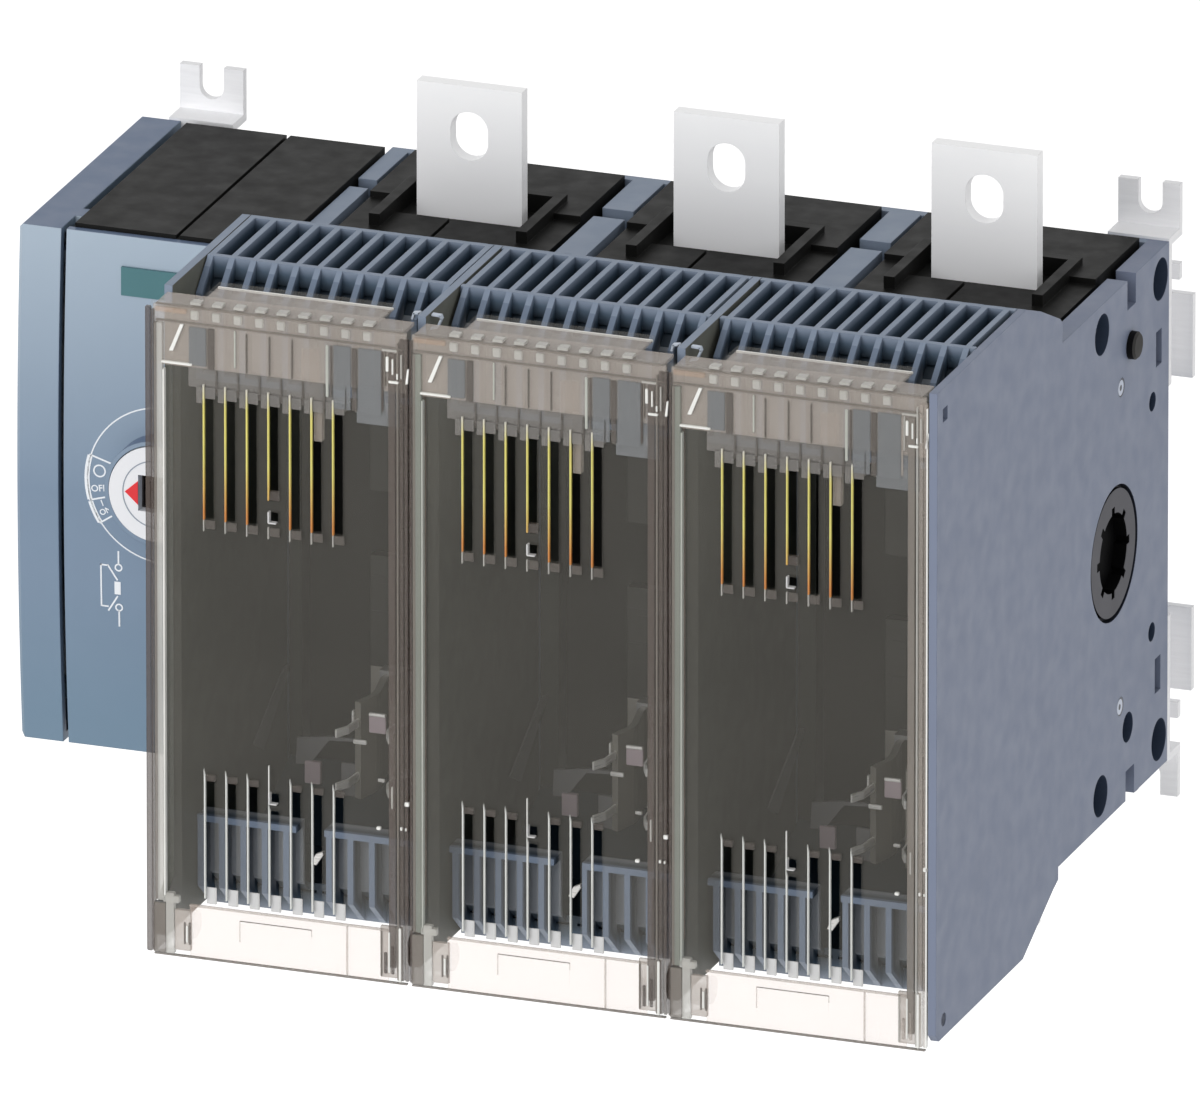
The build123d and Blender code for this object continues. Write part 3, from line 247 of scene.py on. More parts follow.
def front_mask(shade, depth):
    """1 on faces that look forward and lie further forward than depth, in mm."""
    turned = shade.math("LESS_THAN", shade.turn.outputs["Y"], -0.6)
    return shade.math("MULTIPLY", turned, forward_of(shade, depth))


def blue_plain():
    return blue_shade("blue_plastic_moulded").finish(0.025, edge=0.0004)


def blue_wall(name, side):
    """A side panel or partition, dark on the faces that look into a fuse compartment."""
    shade = blue_shade(name, PANEL_BLUE if side < 0 else BLUE)
    inside = inside_mask(shade, side)
    shade.layer(DARK, inside)
    shade.layer(DARK_TOP, shade.math("MULTIPLY", inside, high_share(shade)))
    if side >= 0:
        low = shade.math("LESS_THAN", shade.split.outputs["Z"], WALL_DARK_HIGH)
        nose = shade.math("MULTIPLY", front_mask(shade, WALL_NOSE), low)
        shade.layer(BROWN if side == 0 else DARK, nose)
    else:
        # Round recesses as depth, z and radius in mm, and the coupling's recess in the middle; painted shade
        # darkens them
        sunk = shade.math("LESS_THAN", shade.split.outputs["X"], PANEL_SUNK_X)
        holes = [(42.0, -70.0, 5.7)]
        for z_sign in (1, -1):
            holes += [(9.0, 86.0 * z_sign, 7.9), (70.5, 86.0 * z_sign, 7.7), (17.0, 43.0 * z_sign, 3.7)]
        for depth, z, radius in holes:
            shade.layer((50, 62, 82), shade.math("MULTIPLY", round_mask(shade, depth, z, radius), sunk))
        shade.layer((14, 20, 34), shade.math("MULTIPLY", round_mask(shade, 57.0, 0.0, 24.8), sunk))
    return shade.finish(0.025, edge=0.0003)


def coupling_grey():
    """The side coupling: grey ring, with painted shade making it black inside its socket."""
    shade = Shade("grey_coupling", rough=0.7, specular=0.04).base((108, 108, 112), 0.05)
    # Painted shade inside the socket
    shade.layer((7, 7, 8), shade.math("LESS_THAN", shade.split.outputs["X"], SOCKET_SUNK_X))
    return shade.finish(0.03, edge=0.0003)


def blue_base():
    """The base frame: its front between the poles is dark inside the fuse block."""
    shade = blue_shade("blue_plastic_base")
    middle = shade.math("LESS_THAN", shade.math("ABSOLUTE", shade.split.outputs["Z"]), INSIDE_HALF_HEIGHT)
    inside = shade.math("MULTIPLY", forward_of(shade, BASE_FRONT), middle)
    shade.layer(DARK_BACK, inside)
    shade.layer(DARK_TOP, shade.math("MULTIPLY", inside, high_share(shade)))
    return shade.finish(0.025, edge=0.0004)


def blue_grille(name, flip):
    """Blue ribs with painted shade: the recess between them darkens with its depth below the ribs' outer
    planes. Lower grilles are mirrored.
    """
    shade = blue_shade(name)
    depth = shade.math("SUBTRACT", shade.math("MULTIPLY", shade.split.outputs["Y"], -1.0), STANDOFF / 1000)
    height = shade.split.outputs["Z"]
    if flip:
        height = shade.math("SUBTRACT", GRILLE_MIRROR, height)
    # The ribs' outer planes: forward and upward part of the normal, and the distance
    planes = [(-0.4275, 0.904, 0.0475), (-0.350, 0.937, 0.0618), (0.0, 1.0, 0.122), (0.640, 0.768, 0.2179),
              (1.0, 0.0, 0.206)]
    below = None
    for n_depth, n_height, reach in planes:
        forward = shade.math("MULTIPLY", depth, n_depth)
        along = shade.math("ADD", forward, shade.math("MULTIPLY", height, n_height))
        inward = shade.math("SUBTRACT", reach, along)
        below = inward if below is None else shade.math("MINIMUM", below, inward)
    # Painted shade in the recess between the top ribs; on the nose the recess darkens just below the ribs and
    # turns grey deeper in
    nose = shade.math("GREATER_THAN", depth, GRILLE_NOSE)
    top = shade.math("SUBTRACT", 1.0, nose)
    shade.layer((78, 96, 114), shade.math("MULTIPLY", shade.ramp(below, 0.0006, 0.003), top))
    shade.layer((30, 44, 56), shade.math("MULTIPLY", shade.ramp(below, 0.003, 0.0062), top))
    shade.layer((108, 122, 142), nose)
    shade.layer((70, 80, 92), shade.math("MULTIPLY", shade.ramp(below, 0.0008, 0.0024), nose))
    shade.layer((126, 131, 137), shade.math("MULTIPLY", shade.ramp(below, 0.0034, 0.0064), nose))
    return shade.finish(0.05, edge=0.0003)


def front_plate_blue(name):
    """The mechanism's front: a painted highlight pales the bowed plate towards its top, painted shade darkens
    it towards its foot, and faces that look up get painted shade.
    """
    shade = Shade(name, rough=0.45, specular=0.4).base((122, 141, 162), 0.02)
    front = shade.math("LESS_THAN", shade.turn.outputs["Y"], -0.5)
    # Painted highlight towards the top and painted shade towards the foot, on faces that look forward
    for rgb, start, end in (((166, 181, 195), 0.0, 0.1), ((112, 136, 156), -0.03, -0.085)):
        share = shade.ramp(shade.split.outputs["Z"], start, end)
        shade.layer(rgb, shade.math("MULTIPLY", share, front))
    # Painted shade on faces that look up
    shade.layer((100, 116, 142), shade.math("GREATER_THAN", shade.turn.outputs["Z"], 0.6))
    return shade.finish(0.03, 1500.0, edge=0.0006)


def side_plug():
    """The round plug in the side: a grey end on a black body."""
    shade = Shade("dark_plug", rough=0.6, specular=0.1).base((62, 61, 60), 0.05)
    shade.layer((10, 10, 12), shade.math("LESS_THAN", shade.turn.outputs["X"], 0.5))
    return shade.finish(0.04, edge=0.0002)


def screw_head():
    """A side screw: pale rim, with painted shade darkening its groove and its recess."""
    shade = Shade("screw_head", rough=0.4, metallic=0.2, specular=0.5).base((186, 194, 210), 0.03)
    for z in (SCREW_Z, -SCREW_Z):
        groove = shade.math("SUBTRACT", 1.0, round_mask(shade, SCREW_DEPTH + 0.5, z, SCREW_RADIUS - 0.6))
        side = shade.math("GREATER_THAN", shade.math("ABSOLUTE", shade.turn.outputs["X"]), 0.5)
        near = shade.math("MULTIPLY", round_mask(shade, SCREW_DEPTH, z, SCREW_RADIUS + 0.3), side)
        # Painted shade in the groove round the head and in its recess
        shade.layer((36, 44, 62), shade.math("MULTIPLY", groove, near))
        shade.layer((22, 28, 42), round_mask(shade, SCREW_DEPTH + 0.6, z, 1.1))
    return shade.finish(0.04, edge=0.0002)


def black_shade():
    shade = Shade("black_plastic_moulded", rough=0.48, specular=0.1).base((20, 20, 19), 0.08)
    return shade.finish(0.02, 2400.0, edge=0.0003)


def contact_metal():
    """Dull metal of the jaws, with the flat strips between them painted dark."""
    shade = Shade("plated_contact_inner", rough=0.36, metallic=0.4, specular=0.6)
    shade.base((156, 152, 144), 0.06, 60.0)
    height = shade.math("ABSOLUTE", shade.split.outputs["Z"])
    shade.layer((34, 34, 30), shade.math("LESS_THAN", height, JAW_START))
    return shade.finish(0.03, 900.0, 0.05, edge=0.0003)


def terminal_metal():
    """Tin-plated bar with a soft satin finish; painted shade darkens it towards its root, and a faint even
    emission is a painted glow.
    """
    shade = Shade("plated_bar", rough=0.4, specular=0.6).base((254, 254, 255), 0.015, 60.0, (1.0, 1.0, 9.0))
    # Painted glow: a faint even emission
    shade.shader.inputs["Emission Color"].default_value = WHITE
    shade.shader.inputs["Emission Strength"].default_value = 0.085
    reach = shade.math("ABSOLUTE", shade.split.outputs["Z"])
    # Painted shade towards the root
    shade.layer((238, 238, 240), shade.ramp(reach, 0.142, 0.1))
    return shade.finish(0.03, 700.0, 0.05, edge=0.0003, stretch=(1.0, 1.0, 9.0))


def silver(name, rgb, rough, metallic=0.55):
    """Steel or plated metal with a mottle drawn out along X and Y."""
    stretch = (1.0, 1.0, 12.0)
    shade = Shade(name, rough=rough, metallic=metallic, specular=0.6).base(rgb, 0.03, 60.0, stretch)
    return shade.finish(0.04, 900.0, 0.05, edge=0.0003, stretch=stretch)


def clear(name, rgb, alpha, rough=0.08):
    shade = Shade(name, rough=rough, specular=0.6).base(rgb, 0.05, 30.0)
    shade.shader.inputs["Alpha"].default_value = alpha
    return shade.finish(0.01, 600.0, 0.03)


def slot_jamb():
    """Painted refraction highlight along the edge of a probe slot: pale at its top, then yellow and orange.
    The lower slots are pale.
    """
    shade = Shade("clear_cover_slot_edge", rough=0.2, specular=0.6).base((236, 226, 128), 0.05, 80.0)
    height = shade.split.outputs["Z"]
    shade.layer((214, 140, 70), shade.ramp(height, 0.064, 0.045))
    shade.layer((232, 234, 230), shade.math("LESS_THAN", height, 0.0))
    shade.layer((226, 222, 212), shade.ramp(height, 0.084, 0.092))
    shade.shader.inputs["Alpha"].default_value = 0.8
    return shade.finish(0.01, 600.0, 0.03)


materials = {
    "blue": blue_plain(),
    "base": blue_base(),
    "front": front_plate_blue("blue_plastic_front"),
    "shell": front_plate_blue("blue_plastic_side_shell"),
    "left_wall": blue_wall("blue_plastic_left_wall", 1),
    "right_wall": blue_wall("blue_plastic_right_wall", -1),
    "partition": blue_wall("blue_plastic_partition", 0),
    "upper_grille": blue_grille("blue_plastic_upper_grille", False),
    "lower_grille": blue_grille("blue_plastic_lower_grille", True),
    "black": black_shade(),
    "terminal": terminal_metal(),
    "foot": silver("zinc_foot", (250, 250, 252), 0.5, metallic=0.05),
    "contact": contact_metal(),
    "moving": silver("plated_blade", (190, 188, 182), 0.35),
    "band": silver("spring_band", (150, 150, 150), 0.35),
    "drive": silver("drive_metal", (170, 172, 175), 0.4),
    "screw": screw_head(),
    "cover": clear("clear_cover_sheet", (192, 188, 178), 0.06),
    # Finishes of the cover strips from here to corner, and jamb and tan: painted highlights, reflections,
    # tints and shade in the clear plastic
    "cover_rib": clear("clear_cover_rib", (208, 206, 200), 0.6, 0.15),
    "cover_dark": clear("clear_cover_wall_shade", (88, 75, 68), 0.58, 0.15),
    "cover_line": clear("clear_cover_edge", (132, 124, 116), 0.7, 0.2),
    "cover_milk": clear("clear_cover_top", (202, 191, 181), 0.36, 0.2),
    "cover_tint": clear("clear_cover_foot", (250, 222, 206), 0.16, 0.2),
    "glint": clear("clear_cover_glint", (246, 246, 242), 0.92, 0.1),
    "nose_grey": clear("clear_cover_grey", (126, 129, 132), 0.58, 0.2),
    "nose_warm": clear("clear_cover_warm_grey", (134, 130, 126), 0.5, 0.2),
    "nose_dark": clear("clear_cover_shadow", (92, 84, 78), 0.5, 0.2),
    "edge_light": clear("clear_cover_edge_light", (198, 201, 193), 0.8, 0.15),
    "edge_grey": clear("clear_cover_rib_grey", (148, 153, 143), 0.62, 0.2),
    "slot_foot": clear("clear_cover_slot_foot", (224, 224, 224), 0.78, 0.2),
    "corner": clear("clear_cover_corner", (206, 196, 188), 0.62, 0.2),
    "jamb": slot_jamb(),
    "white": Shade("white_moulded", rough=0.4).base((238, 238, 240), 0.015).finish(0.03),
    "print": Shade("white_print", rough=0.55).base((240, 243, 246), 0.02).finish(0.02, 3000.0),
    "tan": clear("clear_cover_tan", (206, 176, 150), 0.3, 0.2),
    "mark": Shade("wall_mark", rough=0.6).base((100, 101, 102), 0.04).finish(0.02),
    "pad": Shade("contact_pad", rough=0.4).base((178, 162, 168), 0.05).finish(0.02),
    "wing": Shade("contact_wing", rough=0.4).base((102, 102, 104), 0.05).finish(0.02),
    "hook": Shade("blue_plastic_hook", rough=0.4).base((196, 206, 220), 0.02).finish(0.02),
    "engraved": Shade("wall_engraving", rough=0.6).base((24, 24, 22), 0.04).finish(0.02),
    "fin": silver("contact_spring", (240, 238, 234), 0.3, metallic=0.2),
    "dial_print": Shade("grey_print", rough=0.55).base((140, 150, 162), 0.03).finish(0.02, 3000.0),
    "red": Shade("red_moulded", rough=0.4).base((226, 34, 42), 0.03).finish(0.03),
    "socket": Shade("dark_socket", rough=0.5, metallic=0.3).base((52, 46, 46), 0.08).finish(0.04),
    "coupling": coupling_grey(),
    "label": Shade("plain_label", rough=0.35).base((62, 112, 118), 0.03).finish(0.02),
    "plug": side_plug(),
}

# Finish of each CAD node by the start of its name; the first match counts
RULES = [
    ("mechanism_front_plate", "front"), ("label_plate", "label"), ("dial_disc", "white"),
    ("dial_pointer", "red"),
    ("drive_sleeve", "socket"), ("drive_", "drive"), ("shaft_pinion", "drive"), ("switching_shaft", "drive"),
    ("bearing_plate", "drive"), ("slide_spring", "band"), ("jaw_bands", "band"), ("housing_screws", "screw"),
    ("left_side_panel", "left_wall"), ("right_side_panel", "right_wall"), ("fuse_partition", "partition"),
    ("upper_grille", "upper_grille"), ("lower_grille", "lower_grille"), ("fuse_cover", "cover"),
    ("upper_terminal", "terminal"), ("lower_terminal", "terminal"), ("upper_fuse_contact", "contact"),
    ("lower_fuse_contact", "contact"), ("moving_contacts", "moving"), ("star_coupling", "coupling"),
    ("side_plug", "plug"), ("mechanism_housing", "black"), ("mechanism_side_shell", "shell"),
    ("pole_shell", "black"), ("rotor", "black"), ("base_frame", "base"),
]
for name, node in nodes.items():
    kind = "foot" if name.endswith("_foot") else None
    if kind is None:
        kind = next(found for start, found in RULES if name.startswith(start))
    for held in node.material_slots:
        held.material = materials[kind]


# Piece builders

def piece(name, mesh, kind, body):
    """Puts a mesh in the scene as a piece of the object that moves with a body."""
    mesh.materials.clear()
    mesh.materials.append(materials[kind])
    obj = bpy.data.objects.new(name, mesh)
    bpy.context.scene.collection.objects.link(obj)
    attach(obj, body)
    return obj


def mesh_from(name, shape):
    mesh = bpy.data.meshes.new(name)
    shape.to_mesh(mesh)
    shape.free()
    return mesh


def put(name, shape, kind, body):
    """A bmesh as a piece of the object."""
    return piece(name, mesh_from(name, shape), kind, body)


def join_rings(shape, back, front):
    """Closes the solid between two rings of vertices."""
    shape.faces.new(back)
    shape.faces.new(list(reversed(front)))
    count = len(back)
    for i in range(count):
        after = (i + 1) % count
        shape.faces.new([back[after], back[i], front[i], front[after]])


def add_block(shape, x0, x1, d0, d1, z0, z1, soften=0.2):
    """A block between two corners in mm, with its edges rounded by soften."""
    made = bmesh.ops.create_cube(shape, size=1.0)
    centre = place((x0 + x1) / 2, (d0 + d1) / 2, (z0 + z1) / 2)
    size = Matrix.Diagonal(((x1 - x0) / 1000, abs(d1 - d0) / 1000, (z1 - z0) / 1000, 1.0))
    bmesh.ops.transform(shape, matrix=Matrix.Translation(centre) @ size, verts=made["verts"])
    if soften:
        edges = list({edge for vert in made["verts"] for edge in vert.link_edges})
        bmesh.ops.bevel(shape, geom=edges, offset=soften / 1000, segments=2, affect="EDGES",
                        clamp_overlap=True)


def add_prism(shape, outline, d0, d1):
    """A prism of an outline of (x, z) points in mm between two depths."""
    back = [shape.verts.new(place(x, d0, z)) for x, z in outline]
    front = [shape.verts.new(place(x, d1, z)) for x, z in outline]
    join_rings(shape, back, front)


# Prints on the bowed front plate

def add_plate_patch(shape, outline):
    """A thin printed patch on the front plate, from (x, z) points in mm."""
    low = [shape.verts.new(place(x, plate_depth(z) - PRINT_SINK, z)) for x, z in outline]
    high = [shape.verts.new(place(x, plate_depth(z) + PRINT_LIFT, z)) for x, z in outline]
    join_rings(shape, high, low)


def add_plate_line(shape, points, width):
    """A printed line of straight runs."""
    for (x0, z0), (x1, z1) in zip(points, points[1:]):
        along = Vector((x1 - x0, z1 - z0)).normalized()
        side = Vector((-along.y, along.x)) * width / 2
        ends = along * width / 2
        a = Vector((x0, z0)) - ends
        b = Vector((x1, z1)) + ends
        steps = max(1, int((b - a).length / 2.0))
        for i in range(steps):
            p = a.lerp(b, i / steps)
            q = a.lerp(b, (i + 1) / steps)
            add_plate_patch(shape, [p - side, q - side, q + side, p + side])


def add_plate_arc(shape, radius, width, start, end, centre=(DIAL_X, DIAL_Z)):
    """A printed arc, angles in degrees from +X towards +Z."""
    steps = max(6, int(abs(end - start) / 4))
    inner = radius - width / 2
    outer = radius + width / 2
    for i in range(steps):
        a = radians(start + (end - start) * i / steps)
        b = radians(start + (end - start) * (i + 1) / steps)
        corners = [(inner, a), (outer, a), (outer, b), (inner, b)]
        add_plate_patch(shape, [(centre[0] + r * cos(t), centre[1] + r * sin(t)) for r, t in corners])


def print_dial():
    shape = bmesh.new()
    add_plate_arc(shape, 29.0, 0.5, 0, 360)
    add_plate_arc(shape, 29.2, 1.9, 163.5, 196)
    add_plate_arc(shape, 29.2, 1.9, 197.5, 213.5)
    for angle in (163, 196.5, 214):
        a = radians(angle)
        ray = [(DIAL_X + r * cos(a), DIAL_Z + r * sin(a)) for r in (21.4, 29.3)]
        add_plate_line(shape, ray, 0.6)
    add_plate_arc(shape, 2.1, 0.55, 0, 360, (-161.5, 9.7))
    put("dial_scale_print", shape, "print", "base")


def print_text(name, text, size, radius, angle, spin):
    """Lettering on the plate, centred on a point of the dial's scale."""
    curve = bpy.data.curves.new(name + "_curve", "FONT")
    curve.body = text
    curve.size = size
    curve.align_x = "CENTER"
    curve.align_y = "CENTER"
    curve.extrude = TEXT_EXTRUDE
    curve.offset = 0.05
    curve.resolution_u = 4
    holder = bpy.data.objects.new(name + "_holder", curve)
    bpy.context.scene.collection.objects.link(holder)
    bpy.context.view_layer.update()
    mesh = bpy.data.meshes.new_from_object(holder.evaluated_get(bpy.context.evaluated_depsgraph_get()))
    bpy.data.objects.remove(holder)
    a = radians(angle)
    at = Vector((DIAL_X + radius * cos(a), DIAL_Z + radius * sin(a)))
    turn = Matrix.Rotation(radians(spin), 2)
    for vert in mesh.vertices:
        flat = turn @ Vector((vert.co.x, vert.co.y)) + at
        vert.co = place(flat.x, plate_depth(flat.y) + TEXT_EXTRUDE + vert.co.z, flat.y)
    mesh.name = name
    piece(name, mesh, "print", "base")


def print_symbol():
    """The circuit symbol of a fused switch."""
    shape = bmesh.new()
    x = -154.6
    add_plate_line(shape, [(x, -19.8), (x, -24.2)], 0.6)
    add_plate_arc(shape, 1.2, 0.55, 0, 360, (x, -25.7))
    add_plate_line(shape, [(-158.6, -25.2), (-155.2, -30.3)], 0.6)
    add_plate_patch(shape, [(-156.2, -35.9), (-153.9, -35.9), (-153.9, -31.1), (-156.2, -31.1)])
    add_plate_line(shape, [(-155.2, -36.8), (-158.5, -42.2)], 0.6)
    add_plate_arc(shape, 1.2, 0.55, 0, 360, (x, -40.8))
    add_plate_line(shape, [(x, -42.2), (x, -47.7)], 0.6)
    add_plate_line(shape, [(-158.8, -25.3), (-161.2, -25.3), (-161.2, -40.8), (-158.8, -40.8)], 0.55)
    put("circuit_symbol_print", shape, "print", "base")


print_dial()
print_symbol()
print_text("print_off", "OFF", 3.4, 25.0, 188.5, 8)
print_text("print_on_mark", "I", 3.2, 25.2, 201.0, 22)
print_text("print_on", "ON", 3.0, 25.2, 208.0, 28)


def dial_ring():
    shape = bmesh.new()
    steps = 72
    for i in range(steps):
        a = 2 * pi * i / steps
        b = 2 * pi * (i + 1) / steps
        ring = []
        for radius, angle in ((12.2, a), (12.6, a), (12.6, b), (12.2, b)):
            ring.append((DIAL_X + radius * cos(angle), DIAL_Z + radius * sin(angle)))
        add_prism(shape, ring, 132.9, 133.1)
    put("dial_ring_print", shape, "dial_print", "dial")


dial_ring()


# Details of the clear covers

SLOT_FIRST = 19.7
SLOT_PITCH = 8.0
SLOT_COUNT = 7
SHORT_SLOT = 3
SHORT_SLOT_CUT = 10.0
# Left and right parts of a cover, from its left edge, whose lines are paler on the outer covers
LEFT_PART = 6.0
RIGHT_PART = 84.0
WIDE_LINE = 88.4

# The strips are painted highlights, reflections, tints and shade in the clear plastic
# Each row: left and right from the cover's left edge, back and front depth, low and high Z, finish
COVER_STRIPS = [
    (0.3, 1.3, 239.9, 241.8, -120.5, 117.5, "cover_dark"),
    (1.5, 2.5, 239.9, 241.8, -101.5, 113.0, "cover_line"),
    (2.5, 4.6, 239.8, 241.85, -101.5, 113.0, "edge_grey"),
    (4.7, 5.3, 239.8, 241.9, -101.5, 96.0, "edge_light"),
    (WIDE_LINE, 91.0, 239.8, 241.6, -116.0, 112.0, "cover_dark"),
    (91.5, 92.2, 239.9, 241.7, -120.5, 116.0, "cover_line"),
    (92.6, 94.0, 239.8, 241.6, -120.5, 117.5, "cover_dark"),
    (94.4, 95.7, 239.8, 241.6, -120.5, 117.5, "cover_dark"),
    (1.0, 95.0, 240.0, 241.0, 97.5, 119.6, "cover_milk"),
    (16.2, 81.3, 217.0, 239.4, 118.6, 119.4, "cover_milk"),
    (2.2, 94.0, 230.0, 241.0, 119.0, 120.3, "cover_milk"),
    (16.2, 81.4, 216.4, 217.2, 118.6, 119.5, "glint"),
    (2.0, 94.0, 240.4, 241.6, 119.7, 120.2, "cover_line"),
    (2.0, 94.0, 240.4, 241.6, 113.6, 114.2, "cover_line"),
    (14.0, 88.0, 239.9, 240.9, -121.4, -102.2, "cover_tint"),
    (0.9, 95.2, 240.3, 241.7, -121.9, -121.3, "cover_line"),
    (14.0, 88.0, 240.3, 241.9, -102.6, -102.0, "cover_milk"),
    (0.8, 5.2, 239.6, 241.7, -121.0, -102.5, "cover_line"),
    (5.4, 8.4, 239.6, 241.8, -121.0, -98.5, "cover_rib"),
    (4.4, 10.2, 239.7, 241.9, -102.0, -99.5, "cover_rib"),
    (8.6, 14.4, 239.6, 241.4, -119.5, -104.5, "corner"),
    (12.0, 12.6, 241.0, 241.8, -117.0, -108.8, "cover_dark"),
    (12.8, 13.6, 241.0, 241.9, -116.2, -110.0, "glint"),
    (13.8, 14.5, 241.0, 241.8, -117.0, -108.8, "cover_dark"),
    (85.0, 91.3, 239.6, 241.0, -120.0, -101.0, "corner"),
    (85.2, 85.8, 241.0, 241.6, -119.6, -102.0, "cover_line"),
    (86.6, 87.6, 241.0, 241.7, -118.4, -110.6, "cover_dark"),
    (88.2, 88.8, 241.0, 241.8, -118.0, -103.0, "glint"),
    (89.3, 90.3, 241.0, 241.7, -118.4, -108.0, "cover_dark"),
    (92.0, 93.0, 239.7, 241.8, -121.0, -101.0, "glint"),
    (32.8, 59.6, 241.2, 241.45, -106.1, -105.7, "cover_line"),
    (32.6, 33.0, 241.2, 241.45, -113.8, -105.7, "cover_milk"),
    (59.4, 59.7, 241.2, 241.4, -108.5, -105.7, "cover_milk"),
    (72.5, 72.9, 240.5, 241.8, -121.2, -102.6, "cover_milk"),
    (87.6, 88.6, 240.5, 241.9, 105.2, 110.6, "glint"),
    (89.8, 90.4, 240.5, 241.9, 104.2, 110.0, "glint"),
    (91.5, 92.1, 240.5, 241.9, 102.6, 104.8, "glint"),
    (88.6, 92.2, 240.5, 241.9, 101.0, 101.9, "glint"),
    (86.8, 87.3, 240.5, 241.8, 99.5, 112.2, "cover_line"),
    (93.0, 93.6, 240.5, 241.9, 103.0, 112.0, "cover_rib"),
    (86.2, 91.8, 240.5, 241.8, 112.6, 113.4, "cover_rib"),
    (4.2, 15.6, 240.6, 241.9, 98.3, 99.1, "glint"),
    (2.0, 13.5, 240.4, 241.9, 117.2, 118.9, "tan"),
    (55.4, 62.2, 238.6, 239.5, 90.5, 109.0, "tan"),
    (59.8, 62.8, 236.0, 238.8, 75.0, 96.0, "cover_milk"),
    (14.4, 20.8, 241.1, 241.5, 98.5, 112.6, "nose_grey"),
    (21.3, 23.8, 241.1, 241.5, 97.6, 112.8, "nose_dark"),
    (31.2, 31.8, 241.1, 241.6, 99.5, 113.0, "edge_light"),
    (35.5, 36.1, 241.1, 241.5, 98.0, 112.4, "nose_dark"),
    (44.0, 44.6, 241.1, 241.5, 98.0, 112.4, "nose_dark"),
    (52.4, 53.0, 241.1, 241.5, 98.0, 112.4, "nose_dark"),
    (65.2, 66.2, 241.1, 241.5, 93.0, 112.0, "edge_light"),
    (66.8, 67.6, 241.1, 241.5, 93.0, 112.0, "nose_dark"),
    (68.0, 74.4, 241.1, 241.5, 89.0, 112.4, "nose_grey"),
    (74.8, 76.8, 241.1, 241.5, 89.0, 112.0, "nose_dark"),
    (77.2, 85.8, 241.1, 241.5, 88.5, 112.4, "nose_grey"),
    (85.9, 86.6, 241.1, 241.5, 90.0, 112.0, "cover_dark"),
    (76.5, 92.5, 240.2, 241.0, 84.6, 97.5, "nose_grey"),
    (14.0, 67.8, 240.2, 240.9, 90.4, 97.5, "nose_warm"),
    (94.4, 96.0, 240.6, 241.9, -55.2, -53.7, "glint"),
    (92.7, 93.5, 240.6, 241.9, -64.4, -63.2, "glint"),
    (94.5, 95.1, 240.6, 241.9, -64.4, -63.4, "glint"),
    (83.9, 85.4, 240.6, 241.9, -65.2, -64.1, "glint"),
    (89.4, 90.0, 240.6, 241.9, -56.8, -48.6, "cover_rib"),
]
# On the last cover nothing stands behind the right edge, so its lines are paler, and so is the first
# cover's left rib
PALE = {"cover_dark": "cover_milk", "cover_line": "cover_rib"}
PALE_RIB = {"edge_grey": "cover_rib", "edge_light": "glint"}


